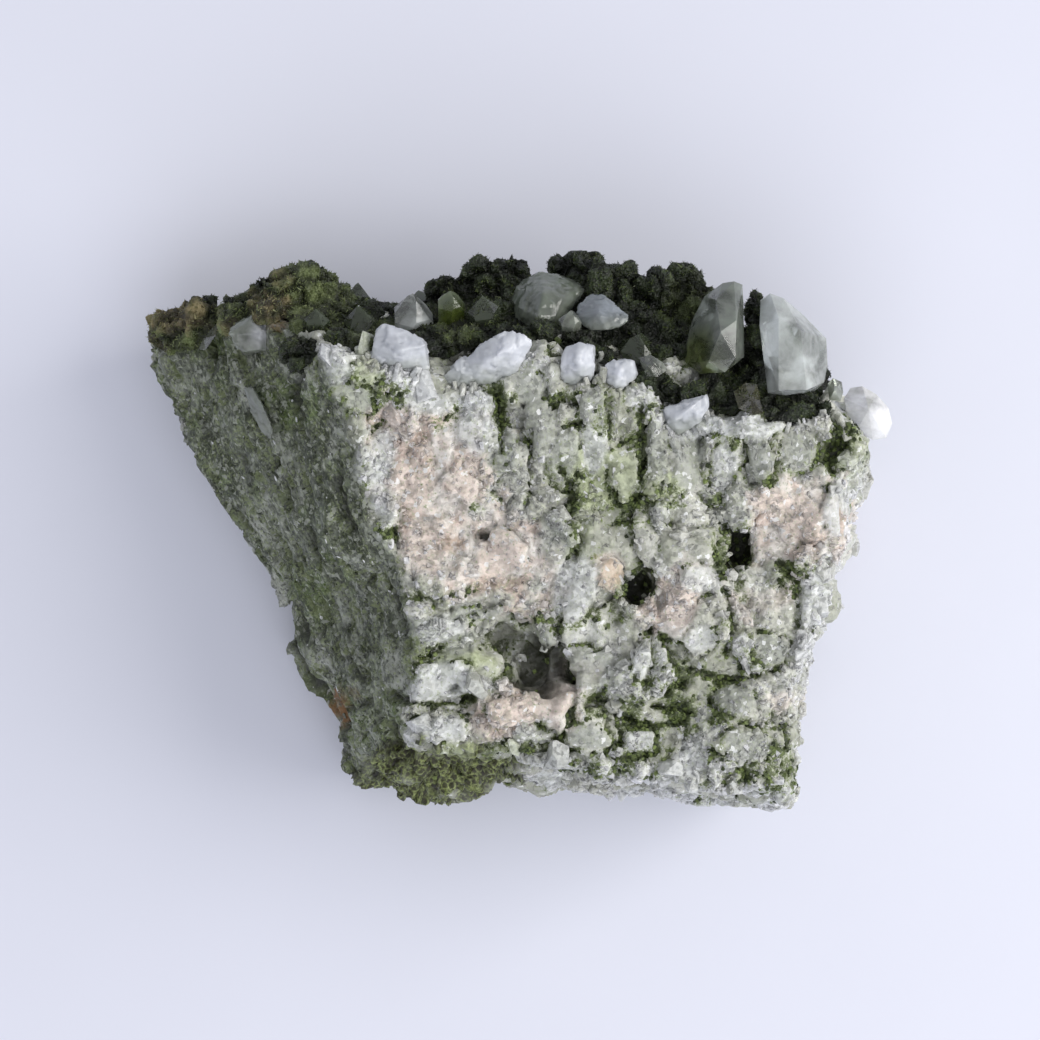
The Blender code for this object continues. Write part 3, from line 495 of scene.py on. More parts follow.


# %% [markdown]
# Some masses of the face are large enough to know again: a white block by the ridge, the pink
# feldspar behind it, a rounded block by the moss. Each is given with its half width
# and half height in the picture, its turn and how far it stands out, in millimetres. It is
# flat on top, leans a little its own way and has a thin groove round it, where green grows.

# %% Masses the eye finds
WHITE_MASS, PINK_MASS, GREY_MASS, LIME_MASS, PEACH_MASS = [
    linear(code) for code in ("#d6d8d5", "#ddcfc4", "#a9aca3", "#b4ba9e", "#d6c3ad")]
MASSES = [(381, 462, 17, 34, 12, 0.9, WHITE_MASS), (410, 480, 30, 24, 20, 0.7, PINK_MASS),
          (384, 505, 15, 26, -10, 0.5, WHITE_MASS), (476, 432, 20, 26, -8, 1.1, WHITE_MASS),
          (432, 545, 26, 22, 10, 0.5, PINK_MASS), (472, 480, 22, 26, 15, 0.4, PINK_MASS),
          (500, 556, 26, 24, 0, 0.5, PINK_MASS), (576, 588, 24, 34, 8, 0.9, WHITE_MASS),
          (556, 535, 18, 28, -5, 0.7, GREY_MASS), (611, 576, 13, 17, 20, 1.3, PEACH_MASS),
          (437, 684, 40, 22, -6, 1.3, WHITE_MASS), (447, 727, 20, 15, -10, 1.0, WHITE_MASS),
          (413, 733, 14, 17, 0, 0.8, WHITE_MASS), (545, 702, 34, 20, -20, 0.8, PINK_MASS),
          (505, 712, 22, 16, 10, 0.7, PINK_MASS), (440, 628, 30, 16, -18, 1.0, WHITE_MASS),
          (484, 606, 34, 14, -14, 0.8, GREY_MASS), (470, 640, 30, 10, -24, 0.7, GREY_MASS),
          (540, 420, 15, 34, -8, 0.9, GREY_MASS), (565, 455, 14, 30, 6, 0.8, GREY_MASS),
          (625, 472, 18, 30, 4, 0.9, LIME_MASS), (505, 450, 14, 26, -4, 0.8, GREY_MASS),
          (596, 445, 12, 30, 3, 0.6, WHITE_MASS), (655, 450, 13, 30, -4, 0.7, GREY_MASS),
          (690, 462, 14, 26, 6, 0.7, GREY_MASS), (725, 468, 14, 24, 0, 0.7, WHITE_MASS),
          (760, 462, 15, 24, 6, 0.7, GREY_MASS), (800, 452, 16, 22, 10, 0.7, GREY_MASS),
          (330, 368, 22, 20, 0, 1.0, WHITE_MASS), (352, 396, 20, 14, 20, 0.8, GREY_MASS),
          (690, 415, 26, 16, 12, 0.9, WHITE_MASS), (750, 425, 34, 12, 0, 0.9, WHITE_MASS),
          (800, 520, 26, 22, 30, 0.7, PINK_MASS), (765, 500, 22, 18, 0, 0.6, PINK_MASS),
          (838, 505, 14, 30, 8, 0.7, WHITE_MASS), (680, 608, 18, 22, 0, 0.7, PINK_MASS),
          (735, 700, 20, 14, 10, 0.8, GREY_MASS), (650, 655, 16, 22, 20, 0.9, WHITE_MASS),
          (700, 580, 20, 14, 10, 0.8, WHITE_MASS), (590, 738, 24, 14, 0, 0.8, GREY_MASS),
          (640, 740, 16, 14, 0, 0.8, WHITE_MASS), (770, 650, 20, 18, 0, 0.8, GREY_MASS),
          (815, 600, 14, 30, 8, 0.7, WHITE_MASS), (540, 640, 18, 20, 0, 0.9, GREY_MASS),
          (590, 670, 20, 24, -10, 0.8, GREY_MASS), (700, 640, 18, 14, -20, 0.8, WHITE_MASS),
          (430, 402, 26, 13, 10, 0.8, WHITE_MASS), (530, 388, 16, 18, 0, 0.8, GREY_MASS),
          (595, 408, 16, 20, 0, 0.8, GREY_MASS), (640, 396, 14, 14, 0, 0.8, WHITE_MASS),
          (400, 665, 14, 14, 0, 0.6, WHITE_MASS), (745, 745, 24, 16, 0, 0.8, GREY_MASS),
          (690, 760, 20, 14, 0, 0.8, WHITE_MASS), (540, 775, 30, 12, 4, 0.8, WHITE_MASS)]
NO_MASS = (0.0, 0.0, 0.0, 0.0, MILKY)


def mass_at(seen, fray):
    """Of the mass at this pixel: how far inside it is, its height in mm, its groove, how smooth it is, its colour."""
    best = NO_MASS
    for *ellipse, stand, tint in MASSES:
        place = place_in(seen, *ellipse)
        if not place:
            continue
        inside = 1 - place.length + fray * 0.5
        share = clamp(inside * 4.0 + 0.2)
        if inside < -0.35 or share < best[0]:
            continue
        own = noise.cell_vector(Vector((*ellipse[:2], stand)) * 0.37)
        lean = (own.x - 0.5) * place.x + (own.y - 0.5) * place.y
        groove = clamp(1 - abs(inside + 0.12) / 0.16) * clamp(own.z * 2 - 0.2)
        smooth = share * clamp(own.y * 2.5 - 1.0)
        best = (share, share * (stand * 0.8 + lean * 1.2) - groove * 0.7, groove, smooth, tint)
    return best


# %% Roughen the rock
rock = voxel_copy("vein_rock", ["quartz_matrix"], ROCK_VOXEL, smooth=True)
neighbours = tree_of(CRYSTALS)
PATCHES = {"pink": PINK, "white": WHITE, "green": GREEN, "lime": LIME, "rust": RUST, "vein": VEIN, "grown": GROWN,
           "terrace": TERRACE, "bulge": BULGE, "tuck": TUCK}
marks = {name: [] for name in ("epidote", "pink", "moss", "rust", "flank", "hollow", "comb", "rough")}
places = []
tints = []
for vertex in rock.data.vertices:
    point, normal = vertex.co.copy(), vertex.normal
    seen = seen_at(point)
    coarse, cloud = noise.noise(point / (4.5 * MM)), noise.noise(point / (1.8 * MM))
    fray = coarse * 0.55 + cloud * 0.4
    strength = {name: patch_strength(patches, seen, fray) for name, patches in PATCHES.items()}
    flank = flank_share(seen, normal, fray)
    pit = patch_strength(PITS, seen, fray) if normal.z > -0.5 and point.z > 20 * MM else 0.0
    moss = patch_strength(MOSS, seen, fray) if point.y < 0 else 0.0
    comb = clamp((COMB_FOOT - seen.y) / 30) * clamp((seen.y - COMB_TOP) / 30) * (1 - strength["pink"])
    share, stand, groove, smooth, mass_tint = mass_at(seen, fray) if normal.z > 0.3 else NO_MASS
    height, crease, own = face_shape(point, comb, max(share, 0.6 * strength["pink"]))
    height += stand * MM
    flank_height, flank_crease, flank_own = flank_shape(point)
    flank_height *= clamp(normal.z * 2.5 + 0.35)
    move = noise.noise(point / (9 * MM)) * 0.6 * MM + height * (1 - flank) + flank_height * flank
    holes = 0.0
    if moss > 0.2:
        moved = point + noise.noise_vector(point / (1.2 * MM)) * 0.9 * MM
        walls = noise.voronoi(moved / (1.9 * MM))[0]
        holes = clamp((walls[1] - walls[0]) * 6 - 0.7) * clamp(0.9 + coarse * 1.6)
        move += (0.3 - holes * 1.6) * MM * moss
    tread = terrace_step(seen, fray)
    if strength["terrace"] > 0 and normal.z > 0.3:
        move += strength["terrace"] * (0.6 - tread) * 1.3 * MM
        strength["lime"] = max(strength["lime"], strength["terrace"] * clamp(tread * 5 - 3.2) * 1.4)
        strength["green"] = max(strength["green"], strength["terrace"] * clamp(tread * 9 - 7.6) * 1.6)
    crack = crack_depth(seen, fray) * clamp(normal.z * 4)
    sunk = pit * (1.8 * clamp(normal.z + 0.3) - noise.noise(point / (0.9 * MM)) * 0.8)
    move += (strength["bulge"] * flank * 1.5 - crack - sunk) * MM
    move -= strength["tuck"] * clamp(normal.x * 1.5) * 1.3 * MM
    if point.z < 0.6 * MM:
        move = min(move, 0.0) * 0.4
    drawn = seated(point, neighbours)
    places.append(drawn if drawn else point + normal * move)
    grown = noise.noise(point / (2.6 * MM)) * 0.55 + noise.noise(point / (0.9 * MM)) * 0.35
    amount = crease * 0.85 + strength["green"] * 0.6 + pit * 0.25 + grown + groove * 0.6 - 0.22
    amount -= 0.35 * strength["pink"] + 0.3 * share
    amount += crack * 0.5
    marks["epidote"].append(clamp(amount) * (1 - flank) + flank * clamp(flank_crease * 0.5 + grown * 0.6))
    marks["pink"].append(strength["pink"])
    marks["rust"].append(strength["rust"])
    marks["moss"].append(moss)
    marks["flank"].append(flank)
    marks["comb"].append(comb)
    marks["rough"].append((0.2 + 0.8 * clamp(own.z * 2.2 - 0.5)) * (1 - 0.5 * smooth) * (1 - 0.25 * strength["pink"]))
    # hollow: how sunk the point lies, in pits, cracks, holes and recesses. The rock material paints shade there, and
    # the grains keep out of it.
    hollow = max(pit, clamp((-move / MM - 0.6) * 0.7) * 0.8, clamp(crack * 0.6) * (0.8 + 0.2 * flank))
    marks["hollow"].append(max(hollow, holes) if moss > 0.2 else hollow)
    pale = blend(face_tint(own, strength, cloud), mass_tint, share * 0.8)
    tints.append(blend(pale, flank_tint(flank_own, strength, cloud), flank))
rock.data.vertices.foreach_set("co", [c for place in places for c in place])
keep_inside(rock.data)
for name, values in marks.items():
    rock.data.attributes.new(name, "FLOAT", "POINT").data.foreach_set("value", values)
rock.data.attributes.new("tint", "FLOAT_COLOR", "POINT").data.foreach_set("color", [c for tint in tints for c in tint])
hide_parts("quartz_matrix")
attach(rock, "root")
print("rock:", len(rock.data.polygons), "squares")

# %% Roughen the crust
KNOBS = [(755, 312, 30, 1.1, 2.6, 5.0), (755, 345, 33, 1.2, 3.4, 5.0), (757, 380, 37, 1.3, 3.2, 3.0),
         (565, 268, 27, 2.2, 2.0, 3.0), (585, 262, 27, 2.4, 2.2, 3.0), (660, 292, 30, 2.0, 3.0, 3.5)]
crust = voxel_copy("druse_crust", ["epidote_crust"], CRUST_VOXEL, knobs=KNOBS)
round_crust = tree_of(CRYSTALS + ["quartz_matrix"])
places = []
hollows = []
ochres = []
olives = []
for vertex in crust.data.vertices:
    point, normal = vertex.co.copy(), vertex.normal
    moved = point + noise.noise_vector(point / (2.4 * MM)) * 1.0 * MM
    knobs, buds = noise.voronoi(moved / (4.4 * MM))[0], noise.voronoi(moved / (1.5 * MM))[0]
    gap, seam = max(1 - (knobs[1] - knobs[0]) / 0.4, 0.0), max(1 - (buds[1] - buds[0]) / 0.5, 0.0)
    fray = noise.noise(point / (1.8 * MM)) * 0.5
    ochres.append(patch_strength(OCHRE, seen_at(point), fray))
    olives.append(patch_strength(OLIVE, seen_at(point), fray))
    worn = max(ochres[-1], olives[-1])
    fine = noise.noise(point / (0.8 * MM)) * 0.3 * (1 + worn) + noise.noise(point / (1.7 * MM)) * 0.5 * worn
    move = (0.45 - (gap ** 2 * 1.5 - 0.3) * (1 - 0.7 * worn) - 0.3 - seam ** 2 * 0.45 + fine) * MM
    drawn = seated(point, round_crust)
    places.append(drawn if drawn else point + normal * move)
    # hollow marks the gaps between knobs and buds, where the crust's colour paints shade.
    hollows.append(clamp(gap * 1.1 + seam * 0.35 - 0.1))
crust.data.vertices.foreach_set("co", [c for place in places for c in place])
keep_inside(crust.data)
for name, values in (("hollow", hollows), ("ochre", ochres), ("olive", olives)):
    crust.data.attributes.new(name, "FLOAT", "POINT").data.foreach_set("value", values)
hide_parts("epidote_crust")
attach(crust, "root")
print("crust:", len(crust.data.polygons), "squares")

# %% [markdown]
# ## Rock materials
#
# The rock's colour lies on its points, lump by lump, and the material adds what is finer
# than its squares: grain, frost, and the ragged edge of the green. Quartz and feldspar let
# light in a little way, which is what makes them look sugary and not chalky.

# %% Vein rock
def mix(tree, factor, first, second, **settings):
    return node(tree, "ShaderNodeMix", {0: factor, 6: first, 7: second}, data_type="RGBA", **settings).outputs[2]


def mark(tree, name):
    return node(tree, "ShaderNodeAttribute", attribute_name=name).outputs["Fac"]


def steep(tree, value, low, high):
    """The value stretched so that low gives 0 and high gives 1."""
    return node(tree, "ShaderNodeMapRange", {"Value": value, "From Min": low, "From Max": high}).outputs[0]


def together(tree, first, how, second):
    return node(tree, "ShaderNodeMath", {0: first, 1: second}, operation=how).outputs[0]


def jagged(tree, where, size, amount):
    """The place moved by chance, so that the borders of a pattern are ragged."""
    chance = node(tree, "ShaderNodeTexNoise", {"Vector": where, "Scale": per_mm(size), "Detail": 3.0})
    return node(tree, "ShaderNodeVectorMath", {0: chance.outputs["Color"], 1: (amount * MM,) * 3, 2: where},
                operation="MULTIPLY_ADD").outputs[0]


def leaning(tree, cells, tilt):
    """The surface's direction, which leans by chance from grain to grain."""
    lean = node(tree, "ShaderNodeVectorMath", {0: cells.outputs["Color"], 1: (0.5, 0.5, 0.5)}, operation="SUBTRACT")
    scaled = node(tree, "ShaderNodeVectorMath", {0: lean.outputs[0], "Scale": tilt}, operation="SCALE")
    straight = node(tree, "ShaderNodeNewGeometry").outputs["Normal"]
    turned = node(tree, "ShaderNodeVectorMath", {0: straight, 1: scaled.outputs[0]}, operation="ADD")
    return node(tree, "ShaderNodeVectorMath", {0: turned.outputs[0]}, operation="NORMALIZE").outputs[0]


rock_material, tree = new_material("broken vein quartz with epidote")
where = node(tree, "ShaderNodeTexCoord").outputs["Object"]
flank = mark(tree, "flank")
along = node(tree, "ShaderNodeVectorMath", {0: where, 1: STREAK}, operation="DOT_PRODUCT").outputs["Value"]
back = node(tree, "ShaderNodeVectorMath", {0: STREAK, "Scale": along}, operation="SCALE").outputs[0]
drawn = node(tree, "ShaderNodeVectorMath", {0: back, 1: (-0.74, -0.74, -0.74), 2: where},
             operation="MULTIPLY_ADD").outputs[0]
cloud = node(tree, "ShaderNodeTexNoise", {"Vector": where, "Scale": per_mm(1.4), "Detail": 6.0, "Roughness": 0.65})
fine = node(tree, "ShaderNodeTexNoise", {"Vector": where, "Scale": per_mm(0.42), "Detail": 5.0, "Roughness": 0.7})
fibre = node(tree, "ShaderNodeTexNoise", {"Vector": drawn, "Scale": per_mm(0.36), "Detail": 4.0, "Roughness": 0.65})
grain = node(tree, "ShaderNodeTexVoronoi", {"Vector": jagged(tree, where, 0.7, 0.6), "Scale": per_mm(0.55)})
chance = node(tree, "ShaderNodeSeparateColor", {0: grain.outputs["Color"]})
tint = node(tree, "ShaderNodeAttribute", attribute_name="tint").outputs["Color"]
bright = node(tree, "ShaderNodeMapRange", {"Value": chance.outputs[0], "To Min": 0.78, "To Max": 1.12}).outputs[0]
rough = steep(tree, mark(tree, "rough"), -0.15, 0.5)
colour = mix(tree, rough, tint, node(tree, "ShaderNodeHueSaturation", {"Value": bright, "Color": tint}).outputs[0])
darker = steep(tree, cloud.outputs["Fac"], 0.55, 0.35)
colour = mix(tree, together(tree, darker, "MULTIPLY", rough), colour, (0.6, 0.61, 0.56, 1.0), blend_type="MULTIPLY")
stroke = together(tree, steep(tree, fibre.outputs["Fac"], 0.57, 0.64), "MULTIPLY", flank)
colour = mix(tree, together(tree, stroke, "MULTIPLY", 0.7), colour, linear("#aeb1a4"))
stroke = together(tree, steep(tree, fibre.outputs["Fac"], 0.46, 0.40), "MULTIPLY", flank)
colour = mix(tree, together(tree, stroke, "MULTIPLY", 0.75), colour, linear("#20261a"))
speck = together(tree, steep(tree, chance.outputs[2], 0.80, 0.86), "MULTIPLY", flank)
colour = mix(tree, together(tree, speck, "MULTIPLY", 0.6), colour, linear("#22281b"))
speck = together(tree, steep(tree, chance.outputs[1], 0.84, 0.90), "MULTIPLY", flank)
colour = mix(tree, together(tree, speck, "MULTIPLY", 0.6), colour, linear("#b4b8ac"))
pale = together(tree, 1.0, "SUBTRACT", flank)
frost = together(tree, steep(tree, fine.outputs["Fac"], 0.54, 0.72), "MULTIPLY", together(tree, pale, "MULTIPLY", 0.5))
colour = mix(tree, frost, colour, linear("#e4e5e3"))
# Painted glints: a few fine grains of the pale breaks are made near-white, as if they caught the light.
painted_sparkle = together(tree, steep(tree, chance.outputs[1], 0.93, 0.95), "MULTIPLY", pale)
colour = mix(tree, together(tree, painted_sparkle, "MULTIPLY", 0.7), colour, linear("#f4f5f4"))
green = mix(tree, steep(tree, fine.outputs["Fac"], 0.38, 0.66), linear("#343b27"), linear("#747f52"))
amount = together(tree, mark(tree, "epidote"), "ADD", together(tree, together(
    tree, fine.outputs["Fac"], "SUBTRACT", 0.5), "MULTIPLY", 2.3))
halo = together(tree, steep(tree, amount, 0.12, 0.30), "MULTIPLY", 0.55)
colour = mix(tree, halo, colour, linear("#8f9b6a"))
colour = mix(tree, steep(tree, amount, 0.34, 0.42), colour, green)
# Painted shade: pits, cracks and sunk places are darkened almost to black, as if in their own shadow.
deep = together(tree, together(tree, mark(tree, "hollow"), "POWER", 2.0), "MULTIPLY", 0.93)
colour = mix(tree, deep, colour, linear("#232417"))
# More painted shade: the hollows of the green flank are darker still.
dark = together(tree, together(tree, mark(tree, "hollow"), "MULTIPLY", flank), "MULTIPLY", 0.7)
colour = mix(tree, dark, colour, linear("#14180f"))
mossy = mix(tree, steep(tree, fine.outputs["Fac"], 0.4, 0.65), linear("#565f2e"), linear("#a5b16d"))
web = node(tree, "ShaderNodeTexVoronoi", {"Vector": jagged(tree, where, 0.9, 0.5), "Scale": per_mm(0.9)},
           feature="DISTANCE_TO_EDGE")
# Painted shade in the pores of the spongy patch: the middle of each small cell is darkened.
gaps = together(tree, steep(tree, web.outputs["Distance"], 0.06, 0.2), "MULTIPLY", 0.85)
mossy = mix(tree, gaps, mossy, linear("#2c2813"))
# Painted shade in the holes of the spongy patch.
mossy = mix(tree, mark(tree, "hollow"), mossy, linear("#1f180c"))
colour = mix(tree, mark(tree, "moss"), colour, mossy)
rust = together(tree, mark(tree, "rust"), "MULTIPLY", steep(tree, cloud.outputs["Fac"], 0.34, 0.5))
colour = mix(tree, together(tree, rust, "MULTIPLY", 0.9), colour, linear("#80592a"))
relief = mix(tree, flank, fine.outputs["Fac"], fibre.outputs["Fac"])
bump = node(tree, "ShaderNodeBump", {"Height": relief, "Strength": 0.7, "Distance": 0.25 * MM,
                                     "Normal": leaning(tree, grain, 0.7)})
solid = together(tree, together(tree, mark(tree, "moss"), "ADD", mark(tree, "hollow")), "ADD",
                 steep(tree, amount, 0.30, 0.42))
quartz = node(tree, "ShaderNodeMapRange", {"Value": solid, "To Min": 0.6, "To Max": 0.0}).outputs[0]
soft = together(tree, pale, "MULTIPLY", quartz)
finish_material(tree, node(tree, "ShaderNodeBsdfPrincipled", {
    "Base Color": colour, "Roughness": 0.36, "IOR": 1.54, "Normal": bump.outputs[0],
    "Subsurface Weight": soft, "Subsurface Radius": (1.0, 0.98, 0.94), "Subsurface Scale": 0.9 * MM}))
rock.data.materials.append(rock_material)

# %% Epidote druse
druse_material, tree = new_material("epidote druse")
where = node(tree, "ShaderNodeTexCoord").outputs["Object"]
needles = node(tree, "ShaderNodeTexVoronoi", {"Vector": where, "Scale": per_mm(0.34)})
shade = node(tree, "ShaderNodeSeparateColor", {0: needles.outputs["Color"]})
patch = node(tree, "ShaderNodeTexNoise", {"Vector": where, "Scale": per_mm(2.2), "Detail": 5.0})
colour = mix(tree, shade.outputs[0], linear("#0d1008"), linear("#303c20"))
colour = mix(tree, steep(tree, patch.outputs["Fac"], 0.48, 0.75), colour, linear("#364120"))
colour = mix(tree, together(tree, mark(tree, "olive"), "MULTIPLY", 0.8), colour, linear("#838f5c"))
colour = mix(tree, together(tree, mark(tree, "ochre"), "MULTIPLY", steep(tree, patch.outputs["Fac"], 0.3, 0.5)),
             colour, linear("#9a8d66"))
# Painted shade: the gaps between the knobs are darkened to near-black.
colour = mix(tree, together(tree, mark(tree, "hollow"), "MULTIPLY", 0.85), colour, linear("#070905"))
bump = node(tree, "ShaderNodeBump", {"Height": needles.outputs["Distance"], "Strength": 0.9,
                                     "Distance": 0.2 * MM})
finish_material(tree, node(tree, "ShaderNodeBsdfPrincipled", {
    "Base Color": colour, "Roughness": 0.5, "IOR": 1.74, "Specular IOR Level": 0.22, "Normal": bump.outputs[0]}))
crust.data.materials.append(druse_material)

# %% [markdown]
# ## Grains that stand out
#
# Sugary quartz sparkles because each grain is a small broken crystal with flat faces of its
# own. A few stones are cut from cubes by chance planes, and thousands of copies are set on
# the rough rock: each is turned, stretched and sunk by chance and takes its colour from the
# lump where it sits. The copies are joined in one mesh, because an object for each would
# be far too many.

# %% Stones to scatter
def arrays_of(bm):
    """The bmesh as an array of corners and one of triangles."""
    bmesh.ops.recalc_face_normals(bm, faces=bm.faces[:])
    bmesh.ops.triangulate(bm, faces=bm.faces[:])
    bm.verts.index_update()
    corners = np.array([vertex.co for vertex in bm.verts])
    triangles = np.array([[vertex.index for vertex in face.verts] for face in bm.faces])
    bm.free()
    return corners, triangles


def cut_off(bm, way, far):
    """Cuts away what lies beyond a plane, and closes the cut."""
    everything = bm.verts[:] + bm.edges[:] + bm.faces[:]
    cut = bmesh.ops.bisect_plane(bm, geom=everything, plane_co=way * far, plane_no=way, clear_outer=True)
    rim = [part for part in cut["geom_cut"] if isinstance(part, bmesh.types.BMEdge)]
    if rim:
        bmesh.ops.contextual_create(bm, geom=rim)


def chip_stone(dice, cuts):
    """A cube that chance planes have cut."""
    bm = bmesh.new()
    bmesh.ops.create_cube(bm, size=2.0)
    for _ in range(cuts):
        cut_off(bm, Vector([dice.gauss(0, 1) for _ in range(3)]).normalized(), dice.uniform(0.62, 0.95))
    return arrays_of(bm)


def splinter_stone(dice):
    """A small rough splinter."""
    bm = bmesh.new()
    bmesh.ops.create_icosphere(bm, subdivisions=1, radius=1.0)
    for vertex in bm.verts:
        vertex.co *= dice.uniform(0.6, 1.1)
    return arrays_of(bm)


def needle_stone(dice):
    """A thin three-sided needle along Z."""
    bm = bmesh.new()
    bmesh.ops.create_cone(bm, cap_ends=True, segments=3, radius1=0.38, radius2=0.0, depth=2.0)
    bmesh.ops.scale(bm, vec=(1.0, dice.uniform(0.5, 1.0), dice.uniform(0.8, 1.2)), verts=bm.verts[:])
    return arrays_of(bm)


dice = random.Random(5)
CHIPS = [chip_stone(dice, 4) for _ in range(16)]
CRUMBS = [chip_stone(dice, 1) for _ in range(12)]
SPLINTERS = [splinter_stone(dice) for _ in range(16)]
BLOCKS = [chip_stone(dice, 9) for _ in range(14)]
NEEDLES = [needle_stone(dice) for _ in range(8)]
print("triangles in a chip:", [len(triangles) for _, triangles in CHIPS])


# %% Set them on a surface
def joined_copies(name, settings):
    """One mesh of many copies. Each setting is a stone, a 4 by 4 place and a colour."""
    points, triangles, colours = [], [], []
    start = 0
    for (corners, faces), place, colour in settings:
        turned = np.array(place)
        corners = corners @ turned[:3, :3].T + turned[:3, 3]
        if (corners < LOWEST).any() or (corners > HIGHEST).any():
            continue
        points.append(corners)
        triangles.append(faces + start)
        colours.append(np.tile(colour, (len(corners), 1)))
        start += len(corners)
    points, triangles, colours = np.concatenate(points), np.concatenate(triangles), np.concatenate(colours)
    mesh = bpy.data.meshes.new(name)
    mesh.from_pydata(points, [], triangles)
    mesh.attributes.new("tint", "FLOAT_COLOR", "POINT").data.foreach_set("color", colours.astype(np.float32).ravel())
    made = bpy.data.objects.new(name, mesh)
    bpy.context.scene.collection.objects.link(made)
    print(name, len(settings), "stones,", len(triangles), "triangles")
    return made


def surface_spots(surface, weight, count, seed):
    """Chance faces of the surface, more of them where weight(face) is high."""
    mesh = surface.data
    areas = np.empty(len(mesh.polygons))
    mesh.polygons.foreach_get("area", areas)
    chance = areas * np.array([weight(face) for face in mesh.polygons])
    chosen = np.random.default_rng(seed).choice(len(areas), size=count, p=chance / chance.sum())
    return [mesh.polygons[int(i)] for i in chosen]


def beside(dice, face, far):
    """A place near the middle of the face, so that the stones don't lie in the rows of the mesh."""
    off = Vector([dice.uniform(-far, far) for _ in range(3)]) * MM
    return face.center + off - face.normal * off.dot(face.normal)


def at(name, face):
    """The rock's mark of this name at a face."""
    return marks[name][face.vertices[0]]


def pale_weight(face):
    """Where quartz grains stand out: on the pale breaks, and less where green covers them."""
    if at("flank", face) > 0.4 or at("moss", face) > 0.3 or face.center.z < 1.2 * MM:
        return 0.0
    if face.normal.y > 0.35 and face.center.z < 41 * MM:
        return 0.0
    if face.normal.x < -0.2:
        seen = seen_at(face.center)
        if seen.x < ridge_across(seen.y):
            return 0.0
    return (1 - 0.8 * at("hollow", face)) * (1 - 0.85 * at("epidote", face)) * at("rough", face) ** 1.2


def flank_weight(face):
    open_share = (1 - 0.95 * at("hollow", face)) * (1 - at("moss", face))
    return at("flank", face) * open_share if face.center.z > 1.2 * MM else 0.0


def green_weight(face):
    """Where epidote has grown on the pale breaks and on the moss."""
    if at("flank", face) > 0.5 or face.center.z < 1.2 * MM:
        return 0.0
    return at("epidote", face) ** 3 * (1 - 0.8 * at("hollow", face)) * (1 - 0.9 * at("moss", face))


def grain_size(dice, small, large):
    """Sizes in which small grains are far more common than large ones."""
    return dice.uniform(small ** -1.5, large ** -1.5) ** (-1 / 1.5) * MM / 2


# Painted glint: a grain coloured near-white, as if it caught the light.
PAINTED_SPARK = linear("#f0f1f3")  # a grain that catches the light


def set_grains(name, stones, count, sizes, sunk, seed, weight, painted_spark_share=0.06, along=None, darkest=0.82):
    """Sets stones on the rock. along is the way their length lies, where it isn't chance.

    darkest is the least share of the rock's brightness that a stone has.
    """
    dice = random.Random(seed)
    settings = []
    for face in surface_spots(rock, weight, count, seed):
        size = grain_size(dice, *sizes)
        way = along
        if way is None and at("comb", face) > dice.uniform(0.2, 0.8):
            way = UPRIGHT
        if way is None:
            way = Vector([dice.gauss(0, 1) for _ in range(3)])
            shape = Matrix.Diagonal([dice.uniform(0.75, 1.25) for _ in range(3)] + [1.0])
        else:
            way = way + Vector([dice.gauss(0, 0.28) for _ in range(3)])
            shape = Matrix.Diagonal((0.65, 0.65, dice.uniform(1.2, 2.0), 1.0))
        turn = way.to_track_quat("Z", "Y").to_matrix().to_4x4() @ Matrix.Rotation(dice.uniform(0, 6), 4, "Z")
        middle = beside(dice, face, 0.3) - face.normal * size * dice.uniform(*sunk)
        place = Matrix.Translation(middle) @ turn @ shape
        tint = blend((0, 0, 0, 1), tints[face.vertices[0]], dice.uniform(darkest, 1.0))
        # Painted glints: a share of the stones, chosen by chance, is made near-white.
        if dice.random() < painted_spark_share:
            tint = blend(tint, PAINTED_SPARK, 0.8)
        settings.append((dice.choice(stones), place @ Matrix.Scale(size, 4), tint))
    made = joined_copies(name, settings)
    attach(made, "root")
    return made


def upward(weight):
    return lambda face: weight(face) if face.normal.z > 0.2 else 0.0


def sideways(weight):
    return lambda face: weight(face) if face.normal.z <= 0.2 else 0.0


rock.data.update()
quartz_grains = [
    set_grains("quartz_lumps", BLOCKS, 300, (0.8, 1.8), (0.7, 0.95), 21, upward(pale_weight)),
    set_grains("quartz_grit", CHIPS, 7000, (0.35, 0.95), (0.5, 0.9), 22, upward(pale_weight), painted_spark_share=0.12),
    set_grains("quartz_lumps_sides", BLOCKS, 900, (1.2, 3.6), (0.6, 0.9), 23, sideways(pale_weight)),
    set_grains("quartz_grit_sides", CHIPS, 4500, (0.6, 1.6), (0.4, 0.85), 24, sideways(pale_weight))]
flank_grains = set_grains("flank_flakes", SPLINTERS, 9500, (0.3, 1.0), (0.4, 0.85), 25, flank_weight,
                          0.05, STREAK, 0.6)

# %% Epidote grains
def set_epidote(name, surface, stones, count, sizes, seed, weight, dark, light, wear_and_shade=None):
    """Sets small green crystals on a surface, standing out of it. The function given last recolours each: browner
    where worn, and darker with painted shade.
    """
    dice = random.Random(seed)
    settings = []
    for face in surface_spots(surface, weight, count, seed):
        lean = face.normal + Vector([dice.gauss(0, 0.5) for _ in range(3)])
        turn = lean.to_track_quat("Z", "Y").to_matrix().to_4x4() @ Matrix.Rotation(dice.uniform(0, 6), 4, "Z")
        place = Matrix.Translation(beside(dice, face, 0.25)) @ turn @ Matrix.Scale(dice.uniform(*sizes) * MM / 2, 4)
        tint = blend(dark, light, dice.random() ** 1.8)
        settings.append((dice.choice(stones), place, wear_and_shade(tint, face) if wear_and_shade else tint))
    made = joined_copies(name, settings)
    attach(made, "root")
    return made


def open_side(face):
    if face.normal.y <= -0.2 and face.normal.z <= 0.1:
        return 0.0
    return 1 - 0.3 * ochres[face.vertices[0]]


